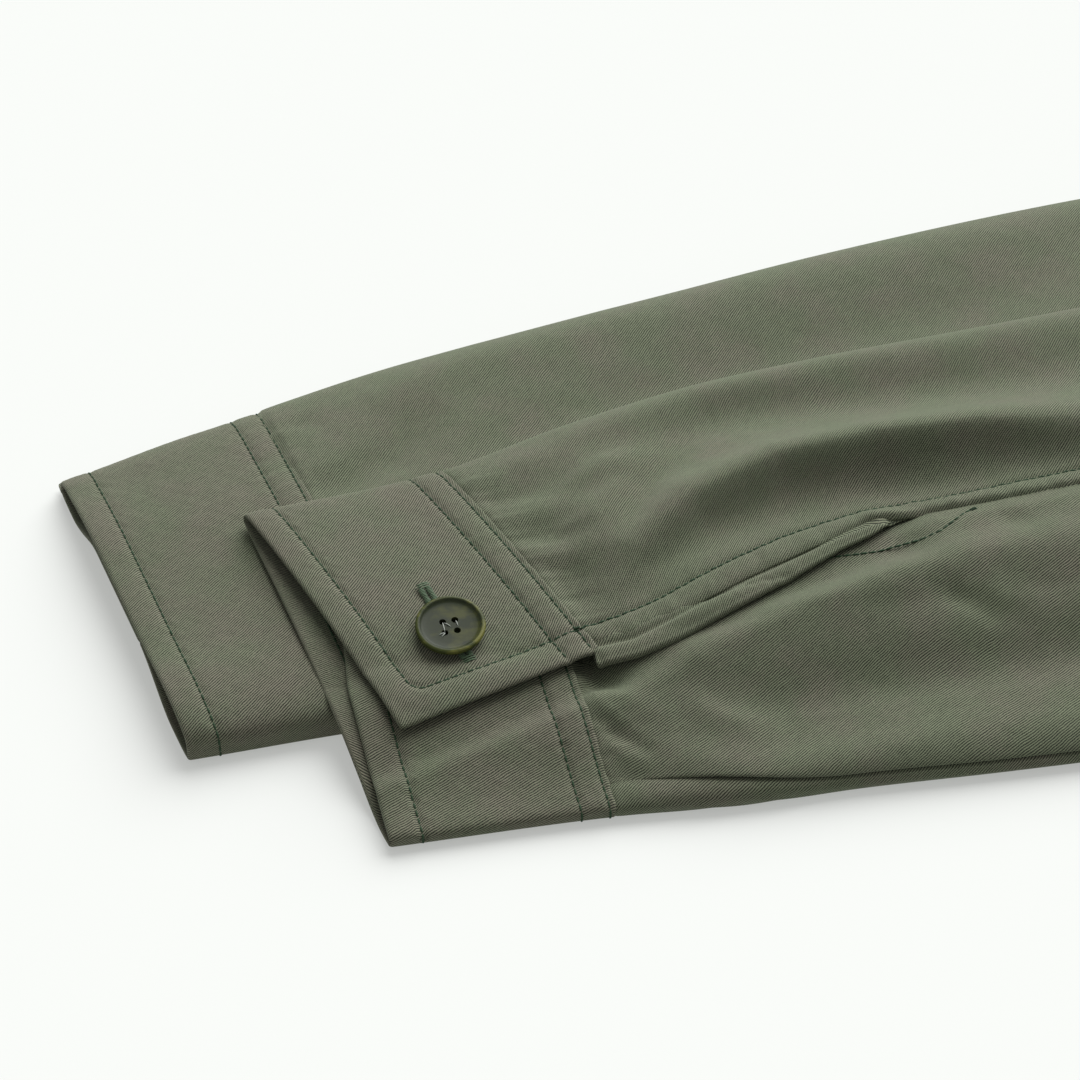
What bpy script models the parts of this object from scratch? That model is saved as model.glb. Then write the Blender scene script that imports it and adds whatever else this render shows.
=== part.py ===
"""Harrington jacket, folded in half along the back and laid flat.

Layers from the table up: right back, right front, left front, left back.
Both sleeves point to -X and -Y; the left one lies half on the right one.
+X runs to the folded edge of the back, +Y from the hem to the collar, +Z up.
The origin is the centre of the laid jacket's footprint, on the table.
"""
import math

import bmesh
import bpy
import numpy as np

MM = 0.001

# ---- driving sizes, millimetres -------------------------------------------
WALL = 1.2                # cloth with its turned seam allowances
BAND_WALL = 2.2           # doubled cloth of the collar and hem band
BAND_LEVELS = (1.1, 6.2, 11.9, 18.9)   # right back, right front, left front, left back
SEAM_GAP = 0.3            # between pieces that meet at a seam
LAY_GAP = 1.1             # between layers that lie on each other
NECK_GAP = 0.9            # the collar from the rounded neck edge
FOLD_EDGE = 2.5           # height of a folded edge over what it lies on
ROUNDNESS = 2.6           # superellipse power of a flattened tube
DOME_REACH = 75.0         # a half rises to its full height within this distance

CHEST_HALF = 280.0        # centre back to the side seam at the pit
HEM_HALF = 252.0          # centre back to the side seam at the hem band
BAND_HALF = 246.0         # half of the hem band, laid flat
PIT_Y = 400.0
SHOULDER_TIP = (-228.0, 625.0)
SIDE_NECK = (-85.0, 665.0)
SHOULDER_MIDDLE = (-140.0, 649.6)   # the shoulder line is pressed down up to here
BACK_NECK_Y = 650.0
BACK_NECK_FLAT = 45.0     # the back neckline is level this far from the middle
FRONT_NECK_Y = 590.0
ARMHOLE_HOLLOW = 40.0     # how far the armhole curves into the body
HEM_BAND = 60.0
COLLAR_STAND = 62.0
FOLD_OFFSET = 32.25       # the fold lies this far from the centre back
BODY_LOFT = 9.5           # two cloth layers with the air between them
FOLD_DEPTH = 10.0         # depth of the rounded fold at the centre back
FRONT_INSET = 15.0        # the hidden layers stop this far inside the folded edge
ARMHOLE_GAP = 0.8         # between the sleeve's end and the armhole's edge
BODY_SHARES = np.concatenate([np.linspace(0.0, 0.6, 6)[:-1], np.linspace(0.6, 1.0, 13)])

BACK_TOP_STEPS = (9, 3, 1)   # edge to side neck, to the flat neckline, to the fold
BACK_LOW_STEPS = (6, 2, 3)
FRONT_LEFT_STEPS = (9, 5, 1)
FRONT_RIGHT_STEPS = (7, 5, 8)
SIDE_SWELL = 0.9          # below 1, the side seam widens sooner above the hem band
BAND_FRONT_TURN = -12.0   # where the band's front layers turn back, inside the fold
HEM_BAND_STEP = 30.0
COLLAR_STEP = 8.0

SLEEVE_ANGLE = math.radians(36.0)
DRAPE_OUT = 38.0          # beside an edge, cloth comes down to the table within this
DRAPE_IN = 6.0            # and is at its full height this far inside the edge
EDGE_HOLD = 9.0           # the right sleeve's lower fold counts as this far inside
MOUTH_OUT = 26.0          # beyond the right cuff's mouth, cloth comes down likewise
MOUTH_IN = -10.0
ARMHOLE_REACH = 60.0      # so near the armhole a sleeve is no lower than the body
LOWER_FLAT = 1.15         # how soon the lower layer leaves its folds for the base
RELIEF_FADE = 1.2         # how soon the ridges rise from the folds

BUTTON_SIZE = 20.0
BUTTON_THICK = 3.0
BUTTON_LIFT = 0.35
BUTTON_AT = (39.1, 1.5)   # along and across the left sleeve
BUTTON_SIDES = 32
SLOPE_STEP = 4.0          # the button lies on the slope over this distance
ZIP_WIDTH = 29.0
ZIP_CHAIN = 6.0

# The button's profile from its underside to its hollow, in shares of its
# radius and of its thickness.
PROFILE_COLUMNS = ("radius", "height")
BUTTON_PROFILE = (
    (0.0, 0.0),
    (0.55, 0.0),
    (0.93, 0.35),
    (1.0, 0.6),
    (0.97, 0.93),
    (0.86, 1.0),
    (0.74, 0.72),
    (0.0, 0.66),
)

ORIGIN = (-391.9, 363.95)  # centre of the footprint, moved to (0, 0)

LEFT_CUFF_AT = (-678.25, 192.0)    # middle of each cuff's mouth
RIGHT_CUFF_AT = (-742.75, 200.3)

# One row for each section of a sleeve: where its lower and its upper folded
# edge lie (along and across the sleeve) and how high its cloth stands.
# The first row is the cuff's hem, the second its seam with the sleeve.
SECTION_COLUMNS = ("low_s", "low_v", "up_s", "up_v", "loft")
LEFT_SECTIONS = (
    (7.5, -59.5, -7.0, 61.0, 6.5),
    (71.5, -65.5, 54.5, 63.5, 7.5),
    (104.0, -70.5, 92.0, 71.5, 10.0),
    (138.0, -73.5, 132.0, 78.0, 10.5),
    (178.0, -78.5, 178.0, 81.5, 10.5),
    (225.0, -83.5, 232.0, 82.5, 10.5),
    (290.0, -88.0, 310.0, 84.5, 10.0),
    (360.0, -89.5, 400.0, 86.5, 10.0),
    (420.0, -88.5, 500.0, 84.5, 9.8),
    (450.0, -86.5, 585.0, 77.5, 9.6),
)
RIGHT_SECTIONS = (
    (8.0, -58.5, -8.0, 59.0, 13.5),
    (68.0, -61.5, 52.0, 70.0, 13.5),
    (104.0, -66.5, 92.0, 78.5, 13.5),
    (140.0, -70.5, 135.0, 84.0, 13.5),
    (182.0, -75.5, 182.0, 90.0, 13.0),
    (230.0, -80.5, 240.0, 96.5, 12.5),
    (290.0, -85.0, 320.0, 101.5, 12.0),
    (360.0, -89.0, 410.0, 100.5, 11.0),
    (415.0, -91.0, 505.0, 91.5, 10.5),
    (445.0, -92.0, 585.0, 75.5, 10.0),
)

# The back-arm seam of the left sleeve, which opens into the cuff's slit, and
# the lower edge of the placket that covers the slit.
SEAM_COLUMNS = ("s", "seam_v", "placket_v")
BACK_ARM_SEAM = (
    (72.0, -15.5, -23.2),
    (88.0, -16.0, -23.3),
    (100.0, -13.5, -21.2),
    (114.0, -9.3, -17.3),
    (127.0, -5.2, -13.3),
    (140.0, -1.5, -8.5),
    (155.0, 2.8, -2.4),
    (166.0, 5.5, 0.8),
    (180.0, 5.4, 3.4),
    (260.0, 5.0, 4.0),
    (640.0, 0.0, 0.0),
)
SLIT_END = 180.0
SLIT_CLOSING = (-10.0, 6.0)   # the slit's lower side comes level here, from SLIT_END
PLACKET_WALL = 1.0
PLACKET_STRETCH = (81.0, 166.0)
PLACKET_SEAM_GAP = 0.9    # the placket starts this far below the seam
PLACKET_ROWS = 9
PLACKET_POINTS = 4
OVERLAP_TURN = 14.5       # the overlap is turned: its free edge lies further up
OVERLAP_EDGE_HEM = -0.434     # the overlap's free edge at the hem and at the seam
OVERLAP_EDGE_SEAM = -0.186
UNDERARM_SIDE = -0.6      # below this place the upper layer follows the underlap
UNDERLAP_END = 0.12       # the underlap's free edge, below the overlap
UNDERLAP_DIP = 3.0        # the underlap passes this far under the overlap
UNDERLAP_REACH = 9.0      # and comes up again within this distance
TURN_FADE = 0.25          # the turn has faded in this row
UNDERARM_SEAM = (-0.90, -0.95)    # the underarm seam at the cuff and past TURN_FADE
UNDERARM_WIDEN = 6.0      # its gap grows so much towards the pit, where walls slope
SLANT = 1.5               # seams cross the rows at a slant, so gaps count for more
RIGHT_SLIT = -0.3         # the right cuff's ends meet here, underneath
RIGHT_SLIT_TURN = 0.3     # half of their gap, in degrees round the tube
SLEEVE_ROWS = np.concatenate([np.linspace(0.0, 0.30, 9), np.linspace(0.36, 1.0, 10)])
TOP_SLEEVE_POINTS = 29
UNDER_LEFT_POINTS = 10
UNDER_RIGHT_POINTS = 8
UNDERLAP_POINTS = 12
OVERLAP_POINTS = 32
LEFT_CUFF_ROWS = 6
RIGHT_CUFF_ROWS = 5
RIGHT_CUFF_POINTS = 38

# Soft ridges (+) and troughs (-) of the left sleeve's upper layer.
FOLD_COLUMNS = ("s0", "v0", "s1", "v1", "width", "height")
LEFT_FOLDS = (
    (95.0, 8.0, 150.0, 44.0, 15.0, 2.2),
    (150.0, 44.0, 330.0, 38.0, 17.0, 2.4),
    (110.0, 2.0, 260.0, 18.0, 12.0, -2.0),
    (190.0, -16.0, 300.0, -14.0, 12.0, 1.4),
)

CLOTH_COLOUR = (0.105, 0.118, 0.078, 1.0)
TRIM_COLOUR = (0.060, 0.072, 0.045, 1.0)
BUTTON_COLOUR = (0.060, 0.075, 0.030, 1.0)


# ---- small helpers ---------------------------------------------------------
def column(table, names, name):
    """One named column of a table, as an array."""
    return np.array([row[names.index(name)] for row in table])


def smooth(x):
    """Eases from 0 to 1 while x goes from 0 to 1."""
    x = np.clip(x, 0.0, 1.0)
    return x * x * (3.0 - 2.0 * x)


def curve_through(xs, ys, x):
    """A smooth curve through a short table (cubic Hermite, finite slopes)."""
    xs = np.asarray(xs, float)
    ys = np.asarray(ys, float)
    slopes = np.gradient(ys, xs)
    i = np.clip(np.searchsorted(xs, x) - 1, 0, len(xs) - 2)
    span = xs[i + 1] - xs[i]
    t = np.clip((x - xs[i]) / span, 0.0, 1.0)
    return ((2 * t**3 - 3 * t**2 + 1) * ys[i] + (t**3 - 2 * t**2 + t) * span * slopes[i]
            + (3 * t**2 - 2 * t**3) * ys[i + 1] + (t**3 - t**2) * span * slopes[i + 1])


def dome(share):
    """Height share of a flattened tube, 0 at its folds and 1 in its middle."""
    share = np.clip(np.abs(share), 0.0, 1.0)
    return (1.0 - share**ROUNDNESS) ** (1.0 / ROUNDNESS)


def to_segment(x, y, a, b):
    """Distance from a point to a straight stretch."""
    ax, ay = a
    bx, by = b
    t = np.clip(((x - ax) * (bx - ax) + (y - ay) * (by - ay))
                / ((bx - ax) ** 2 + (by - ay) ** 2), 0.0, 1.0)
    return np.hypot(x - ax - t * (bx - ax), y - ay - t * (by - ay))


# ---- the body's outline and heights ---------------------------------------
def side_edge(y):
    """Side seam and armhole of one half, from its own centre back."""
    if y <= PIT_Y:
        share = (y - HEM_BAND) / (PIT_Y - HEM_BAND)
        return -(HEM_HALF + (CHEST_HALF - HEM_HALF) * smooth(share) ** SIDE_SWELL)
    tip_x, tip_y = SHOULDER_TIP
    share = min((y - PIT_Y) / (tip_y - PIT_Y), 1.0)
    straight = -CHEST_HALF + (tip_x + CHEST_HALF) * share
    return straight + ARMHOLE_HOLLOW * math.sin(math.pi * share)


def back_end(x):
    """Shoulder line and back neckline of one half."""
    if x <= SIDE_NECK[0]:
        (tip_x, tip_y), (neck_x, neck_y) = SHOULDER_TIP, SIDE_NECK
        return float(np.interp(x, (tip_x, neck_x), (tip_y, neck_y)))
    return float(np.interp(x, (SIDE_NECK[0], -BACK_NECK_FLAT), (SIDE_NECK[1], BACK_NECK_Y)))


def front_end(x):
    """Shoulder line and front neckline of one half."""
    if x <= SIDE_NECK[0]:
        return back_end(x)
    share = min((x - SIDE_NECK[0]) / -SIDE_NECK[0], 1.0)
    return SIDE_NECK[1] + (FRONT_NECK_Y - SIDE_NECK[1]) * math.sin(share * math.pi / 2)


def half_dome(x, y):
    """Height share of one half: low along its side seam and shoulder line."""
    side = to_segment(x, y, (-HEM_HALF, HEM_BAND), (-CHEST_HALF, PIT_Y))
    shoulder = to_segment(x, y, SHOULDER_TIP, SHOULDER_MIDDLE)
    side_share = np.maximum(1.0 - side / DOME_REACH, 0.0)
    shoulder_share = np.maximum(1.0 - shoulder / DOME_REACH, 0.0)
    return dome(side_share) * dome(shoulder_share)


def right_half_top(x, y):
    """Top of the right half, which lies on the table."""
    return FOLD_EDGE + (BODY_LOFT - FOLD_EDGE) * half_dome(x + FOLD_OFFSET, y)


def left_half_top(x, y):
    """Top of the left half, which lies on the right one."""
    rise = FOLD_EDGE + (BODY_LOFT - FOLD_EDGE) * half_dome(x - FOLD_OFFSET, y)
    return right_half_top(x, y) + LAY_GAP + rise


def under_left_back(x, y):
    """Just under the left back, also where it slopes."""
    reach = 6.0
    around = ((0.0, 0.0), (reach, 0.0), (-reach, 0.0), (0.0, reach), (0.0, -reach))
    return min(float(left_half_top(x + dx, y + dy)) for dx, dy in around) - WALL - SEAM_GAP


# ---- sleeves ---------------------------------------------------------------
class Sleeve:
    """A flattened tube from the cuff to the armhole of one half.

    A row q is 0 at the cuff's seam and 1 at the armhole, and below 0 in the
    cuff. A place w is -1 at the lower fold and 1 at the upper fold.
    """

    def __init__(self, mouth, table, shift):
        self.mouth = mouth
        self.shift = shift
        self.axis = (math.cos(SLEEVE_ANGLE), math.sin(SLEEVE_ANGLE))
        pit = self.across((-CHEST_HALF + shift, PIT_Y))
        tip = self.across((SHOULDER_TIP[0] + shift, SHOULDER_TIP[1]))
        rows = list(table) + [(*pit, *tip, BODY_LOFT)]
        self.sections = {name: column(rows, SECTION_COLUMNS, name) for name in SECTION_COLUMNS}
        self.middle = (self.sections["low_s"] + self.sections["up_s"]) / 2
        self.length = self.middle[-1] - self.middle[1]
        self.share = (self.middle - self.middle[1]) / self.length

    def across(self, point):
        """Along and across the sleeve, from a place in plan."""
        dx, dy = point[0] - self.mouth[0], point[1] - self.mouth[1]
        c, n = self.axis
        return dx * c + dy * n, -dx * n + dy * c

    def plan(self, s, v):
        """Place in plan, from along and across the sleeve."""
        c, n = self.axis
        return self.mouth[0] + s * c - v * n, self.mouth[1] + s * n + v * c

    def section(self, q):
        """Both folds and the loft of the row q."""
        return [float(curve_through(self.share, self.sections[name], q)) for name in SECTION_COLUMNS]

    def spot(self, q, w):
        """Along and across the sleeve, for a row and a place."""
        low_s, low_v, up_s, up_v, _ = self.section(q)
        t = (w + 1.0) / 2.0
        s = low_s + (up_s - low_s) * t
        v = low_v + (up_v - low_v) * t
        ease = float(smooth((q - 0.6) / 0.4))
        if ease > 0.0:
            chord_x = -CHEST_HALF + (SHOULDER_TIP[0] + CHEST_HALF) * t
            hollow = side_edge(PIT_Y + (SHOULDER_TIP[1] - PIT_Y) * t + 0.001) - chord_x
            c, n = self.axis
            s += (hollow * c - ARMHOLE_GAP) * ease
            v -= hollow * n * ease
        return s, v

    def folds_at(self, s):
        """Both folds and the loft at a distance along the sleeve."""
        low = float(np.interp(s, self.sections["low_s"], self.sections["low_v"]))
        up = float(np.interp(s, self.sections["up_s"], self.sections["up_v"]))
        return low, up, float(np.interp(s, self.middle, self.sections["loft"]))


RIGHT = Sleeve(RIGHT_CUFF_AT, RIGHT_SECTIONS, -FOLD_OFFSET)
LEFT = Sleeve(LEFT_CUFF_AT, LEFT_SECTIONS, FOLD_OFFSET)


def eased_beside(distance):
    """How cloth comes down beside what it lies on; distance is inwards."""
    return float(smooth((distance + DRAPE_OUT) / (DRAPE_OUT + DRAPE_IN)))


def right_sleeve_top(x, y):
    """Top of the right sleeve, eased down to the table beside it."""
    s, v = RIGHT.across((x, y))
    low, up, loft = RIGHT.folds_at(s)
    middle, half = (low + up) / 2, (up - low) / 2
    share = float(dome((max(v, low + EDGE_HOLD) - middle) / half))
    mouth = float(smooth((s + MOUTH_OUT) / (MOUTH_OUT + MOUTH_IN)))
    top = FOLD_EDGE + (loft - FOLD_EDGE) * share
    if s > RIGHT.middle[-2] - ARMHOLE_REACH:
        top = max(top, float(right_half_top(x, y)))
    return top * eased_beside(v - low) * mouth


def right_body_top(x, y):
    """Top of the right half of the body, eased down beside its side seam."""
    edge = side_edge(max(min(y, SHOULDER_TIP[1]), HEM_BAND)) - FOLD_OFFSET
    return BODY_LOFT * eased_beside(x - edge)


def left_support(x, y):
    """What the left sleeve lies on, with the gap between the layers."""
    height = max(right_sleeve_top(x, y), right_body_top(x, y))
    return height + LAY_GAP * min(height / 3.0, 1.0)


def fold_relief(s, v):
    """Soft ridges and troughs of the left sleeve's upper layer."""
    total = 0.0
    for row in LEFT_FOLDS:
        fold = dict(zip(FOLD_COLUMNS, row))
        start, end = (fold["s0"], fold["v0"]), (fold["s1"], fold["v1"])
        off = float(to_segment(s, v, start, end)) / fold["width"]
        total += fold["height"] * math.exp(-(off**2))
    return total


def angle_of(w, upper):
    """Angle round the tube: 0 upper fold, 90 middle of the upper layer,
    180 lower fold, 270 middle of the lower layer."""
    cosine = math.copysign(abs(w) ** (ROUNDNESS / 2.0), w)
    angle = math.degrees(math.acos(max(-1.0, min(1.0, cosine))))
    return angle if upper else 360.0 - angle


def place_at(angle):
    """The place w at an angle round the tube, and whether it is on top."""
    cosine = math.cos(math.radians(angle))
    w = math.copysign(abs(cosine) ** (2.0 / ROUNDNESS), cosine)
    return w, math.sin(math.radians(angle)) >= -1e-9


def line_w(sleeve, q, name):
    """Where a line of BACK_ARM_SEAM crosses the row q."""
    along = column(BACK_ARM_SEAM, SEAM_COLUMNS, "s")
    across = column(BACK_ARM_SEAM, SEAM_COLUMNS, name)
    low_s, low_v, up_s, up_v, _ = sleeve.section(q)
    w = 0.0
    for _ in range(6):
        s = low_s + (up_s - low_s) * (w + 1.0) / 2.0
        if sleeve is LEFT:
            s += turned(q, w, "over")
        w = (float(np.interp(s, along, across)) - low_v) / (up_v - low_v) * 2.0 - 1.0
    return w


def underarm_w(q):
    """The underarm seam: a little above the lower fold, nearing it."""
    near_cuff, beyond = UNDERARM_SEAM
    return near_cuff + (beyond - near_cuff) * float(smooth(q / TURN_FADE))


def overlap_edge_w(q):
    """The overlap's free edge in the left cuff; the slit's edge beyond it."""
    share = smooth((q - LEFT.share[0]) / -LEFT.share[0])
    return OVERLAP_EDGE_HEM + (OVERLAP_EDGE_SEAM - OVERLAP_EDGE_HEM) * float(share)


def turned(q, w, part):
    """How far the left cuff's turn moves a point of the upper layer along."""
    low_s, _, up_s, _, _ = LEFT.section(q)
    fade = float(1.0 - smooth(q / TURN_FADE))
    if part == "under" or w < UNDERARM_SIDE:
        return (low_s - up_s) * (w + 1.0) / 2.0 * fade
    return OVERLAP_TURN * (1.0 - w) / (1.0 - overlap_edge_w(q)) * fade


def tucked(q, w, s, part):
    """How far the under side of the cuff and slit lies below the upper side."""
    if part != "under":
        return 0.0
    reach = UNDERLAP_REACH / LEFT.sections["up_v"][1]
    edge = overlap_edge_w(q) if q < 0.0 else line_w(LEFT, q, "seam_v")
    start, end = SLIT_CLOSING
    depth = UNDERLAP_DIP * (1.0 - float(smooth((s - SLIT_END - start) / (end - start))))
    return depth * float(smooth((w - edge + 2.0 * reach) / reach))


def sleeve_point(sleeve, q, angle, part="over"):
    """A point of the outer surface of a sleeve or cuff."""
    w, upper = place_at(angle)
    s, v = sleeve.spot(q, w)
    is_left = sleeve is LEFT
    if is_left and upper:
        s += turned(q, w, part)
    x, y = sleeve.plan(s, v)
    share = float(dome(w))
    base = left_support(x, y) if is_left else 0.0
    if not upper:
        return x, y, base + FOLD_EDGE * (1.0 - min(share * LOWER_FLAT, 1.0))
    z = base + FOLD_EDGE + (sleeve.section(q)[-1] - FOLD_EDGE) * share
    if is_left:
        z += fold_relief(s, v) * min(share * RELIEF_FADE, 1.0) - tucked(q, w, s, part)
    body = left_half_top(x, y) if is_left else right_half_top(x, y)
    ease = float(smooth((q - 0.8) / 0.2))
    return x, y, z + (body - z) * ease


# ---- making objects --------------------------------------------------------
def clear_scene():
    for thing in list(bpy.data.objects):
        bpy.data.objects.remove(thing, do_unlink=True)


def surface(name, colour, roughness):
    material = bpy.data.materials.new(name)
    material.use_nodes = True
    shader = material.node_tree.nodes["Principled BSDF"]
    shader.inputs["Base Color"].default_value = colour
    shader.inputs["Roughness"].default_value = roughness
    material.diffuse_color = colour
    return material


def place(name, mesh, material, collection):
    piece = bpy.data.objects.new(name, mesh)
    mesh.materials.append(material)
    collection.objects.link(piece)
    return piece


def in_metres(x, y, z):
    """A point in metres from the origin, from its layout in millimetres."""
    return (x - ORIGIN[0]) * MM, (y - ORIGIN[1]) * MM, z * MM


def loft(name, rows, closed=False):
    """A mesh of quads through rows of points given in millimetres."""
    bm = bmesh.new()
    lines = [[bm.verts.new(in_metres(*point)) for point in row] for row in rows]
    width = len(lines[0])
    for near, far in zip(lines, lines[1:]):
        for k in range(width if closed else width - 1):
            m = (k + 1) % width
            bm.faces.new((near[k], near[m], far[m], far[k]))
    if closed:
        bm.faces.new(list(reversed(lines[0])))
        bm.faces.new(lines[-1])
        bmesh.ops.recalc_face_normals(bm, faces=bm.faces)
    mesh = bpy.data.meshes.new(name)
    bm.to_mesh(mesh)
    bm.free()
    for face in mesh.polygons:
        face.use_smooth = True
    return mesh


def cloth(name, rows, wall, material, collection):
    """A sheet whose outer side is given, thickened inwards."""
    piece = place(name, loft(name, rows), material, collection)
    solid = piece.modifiers.new("wall", "SOLIDIFY")
    solid.thickness = wall * MM
    solid.offset = -1.0
    return piece


# ---- sleeves, cuffs, placket and button -----------------------------------
def gap_w(sleeve, q):
    """Half of a seam's gap, as a share of the row's half width."""
    _, low_v, _, up_v, _ = sleeve.section(q)
    return SLANT * SEAM_GAP / (up_v - low_v)


def sleeve_rows(sleeve, first, last, part, count):
    """Rows of a sleeve piece between two angles that change along it."""
    rows = []
    for q in SLEEVE_ROWS:
        angles = np.linspace(first(q), last(q), count)
        rows.append([sleeve_point(sleeve, q, angle, part) for angle in angles])
    return rows


def make_sleeve(side, sleeve, material, collection):
    """Top sleeve and under sleeve. The back-arm seam is on the upper layer
    of the left sleeve and on the lower layer of the right one."""
    above = sleeve is LEFT
    turn = -360.0 if above else 360.0

    def seam(q, sign):
        return angle_of(line_w(sleeve, q, "seam_v") + sign * gap_w(sleeve, q), above)

    def underarm(q, sign):
        widened = gap_w(sleeve, q) * (1.0 + UNDERARM_WIDEN * q)
        return angle_of(underarm_w(q) + sign * widened, above)

    def far_underarm(q):
        return underarm(q, -1) + turn

    def near_underarm(q):
        return underarm(q, 1)

    def seam_on_top(q):
        return seam(q, 1)

    def seam_on_under(q):
        return seam(q, -1)

    if above:
        top = sleeve_rows(sleeve, far_underarm, seam_on_top, "over", TOP_SLEEVE_POINTS)
        under = sleeve_rows(sleeve, seam_on_under, near_underarm, "under", UNDER_LEFT_POINTS)
    else:
        top = sleeve_rows(sleeve, seam_on_top, far_underarm, "over", TOP_SLEEVE_POINTS)
        under = sleeve_rows(sleeve, near_underarm, seam_on_under, "under", UNDER_RIGHT_POINTS)
    cloth("sleeve_%s_top" % side, top, WALL, material, collection)
    cloth("sleeve_%s_under" % side, under, WALL, material, collection)


def make_left_cuff(material, collection):
    """One strip: underlap, lower fold, lower layer, upper fold, overlap."""
    end = -2 * SEAM_GAP / LEFT.length
    first = angle_of(UNDERLAP_END, True)
    rows = []
    for q in np.linspace(LEFT.share[0], end, LEFT_CUFF_ROWS):
        last = 360.0 + angle_of(overlap_edge_w(q), True)
        row = [sleeve_point(LEFT, q, angle, "under")
               for angle in np.linspace(first, 180.0, UNDERLAP_POINTS)[:-1]]
        row += [sleeve_point(LEFT, q, angle, "over")
                for angle in np.linspace(180.0, last, OVERLAP_POINTS)]
        rows.append(row)
    cloth("cuff_left", rows, WALL, material, collection)


def make_right_cuff(material, collection):
    """The same strip; its ends meet underneath, where it lies flat."""
    end = -2 * SEAM_GAP / RIGHT.length
    first = angle_of(RIGHT_SLIT, False) + RIGHT_SLIT_TURN
    angles = np.linspace(first, first + 360.0 - 2 * RIGHT_SLIT_TURN, RIGHT_CUFF_POINTS)
    rows = []
    for q in np.linspace(RIGHT.share[0], end, RIGHT_CUFF_ROWS):
        rows.append([sleeve_point(RIGHT, q, angle) for angle in angles])
    cloth("cuff_right", rows, WALL, material, collection)


def left_surface(s, v):
    """Height of the left sleeve's or overlap's top at a place."""
    low, up, height = LEFT.folds_at(s)
    share = float(dome((v - low) / (up - low) * 2.0 - 1.0))
    x, y = LEFT.plan(s, v)
    relief = fold_relief(s, v) * min(share * RELIEF_FADE, 1.0)
    return left_support(x, y) + FOLD_EDGE + (height - FOLD_EDGE) * share + relief


def make_placket(material, collection):
    """The strip along the slit, from its seam to its lower edge."""
    along, seams, edges = (column(BACK_ARM_SEAM, SEAM_COLUMNS, name) for name in SEAM_COLUMNS)
    rows = []
    for s in np.linspace(*PLACKET_STRETCH, PLACKET_ROWS):
        seam = float(np.interp(s, along, seams))
        edge = float(np.interp(s, along, edges))
        row = []
        for v in np.linspace(seam - PLACKET_SEAM_GAP, edge, PLACKET_POINTS):
            x, y = LEFT.plan(s, v)
            row.append((x, y, left_surface(s, v)))
        rows.append(row)
    cloth("placket_left", rows, PLACKET_WALL, material, collection)


def make_button(material, collection):
    """A turned button with a rim, lying on the overlap."""
    s, v = BUTTON_AT
    x, y = LEFT.plan(s, v)
    radii = column(BUTTON_PROFILE, PROFILE_COLUMNS, "radius") * BUTTON_SIZE / 2
    heights = column(BUTTON_PROFILE, PROFILE_COLUMNS, "height") * BUTTON_THICK
    bm = bmesh.new()
    verts = [bm.verts.new((r * MM, 0.0, z * MM)) for r, z in zip(radii, heights)]
    for a, b in zip(verts, verts[1:]):
        bm.edges.new((a, b))
    bmesh.ops.spin(bm, geom=bm.verts[:] + bm.edges[:], cent=(0, 0, 0), axis=(0, 0, 1),
                   angle=2 * math.pi, steps=BUTTON_SIDES, use_merge=True)
    bmesh.ops.remove_doubles(bm, verts=bm.verts, dist=0.00001)
    bmesh.ops.recalc_face_normals(bm, faces=bm.faces)
    mesh = bpy.data.meshes.new("button_left")
    bm.to_mesh(mesh)
    bm.free()
    mesh.shade_smooth()
    piece = place("button_left", mesh, material, collection)
    step = SLOPE_STEP
    c, n = LEFT.axis
    slope_s = (left_surface(s + step, v) - left_surface(s - step, v)) / (2 * step)
    slope_v = (left_surface(s, v + step) - left_surface(s, v - step)) / (2 * step)
    slope_x = slope_s * c - slope_v * n
    slope_y = slope_s * n + slope_v * c
    piece.rotation_euler = (math.atan(slope_y), -math.atan(slope_x), 0.0)
    piece.location = in_metres(x, y, left_surface(s, v) + BUTTON_LIFT)


# ---- the body --------------------------------------------------------------
def stretches(stops, counts):
    """Even steps from each stop to the next, with the stops among them."""
    steps = [np.linspace(a, b, n + 1)[:-1] for a, b, n in zip(stops, stops[1:], counts)]
    return np.concatenate(steps + [[stops[-1]]])


def body_x(edge, inner, shift, counts):
    """Places across one half, from its edge to the folded edge."""
    stops = (edge, SIDE_NECK[0] + shift, -BACK_NECK_FLAT + shift, inner)
    return stretches(stops, counts)


def body_y(share, end):
    """Distance up the body, at a share of the way to its upper end."""
    start = HEM_BAND + SEAM_GAP
    return start + share * (end - start)


def make_back(material, collection):
    """One panel: left half on top, folded edge, right half on the table."""
    tip = SHOULDER_TIP[0]
    top_x = body_x(tip + FOLD_OFFSET, -FOLD_DEPTH, FOLD_OFFSET, BACK_TOP_STEPS)
    low_x = body_x(tip - FOLD_OFFSET, -FOLD_DEPTH, -FOLD_OFFSET, BACK_LOW_STEPS)
    rows = []
    for share in BODY_SHARES:
        edge = side_edge(HEM_BAND + share * (SHOULDER_TIP[1] - HEM_BAND))
        row = []
        across = body_x(edge + FOLD_OFFSET, -FOLD_DEPTH, FOLD_OFFSET, BACK_TOP_STEPS)
        for x, end_x in zip(across, top_x):
            y = body_y(share, back_end(end_x - FOLD_OFFSET))
            row.append((x, y, left_half_top(x, y)))
        high = row[-1][2]
        for angle in np.linspace(90.0, -90.0, 9)[1:-1]:
            a = math.radians(angle)
            reach = math.cos(a) ** (2.0 / ROUNDNESS) * FOLD_DEPTH
            rise = math.copysign(abs(math.sin(a)) ** (2.0 / ROUNDNESS), math.sin(a))
            row.append((reach - FOLD_DEPTH, body_y(share, BACK_NECK_Y), high / 2 * (1.0 + rise)))
        across = body_x(edge - FOLD_OFFSET, -FOLD_DEPTH, -FOLD_OFFSET, BACK_LOW_STEPS)
        for x, end_x in zip(across[::-1], low_x[::-1]):
            row.append((x, body_y(share, back_end(-abs(end_x + FOLD_OFFSET))), 0.0))
        rows.append(row)
    cloth("back", rows, WALL, material, collection)


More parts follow.
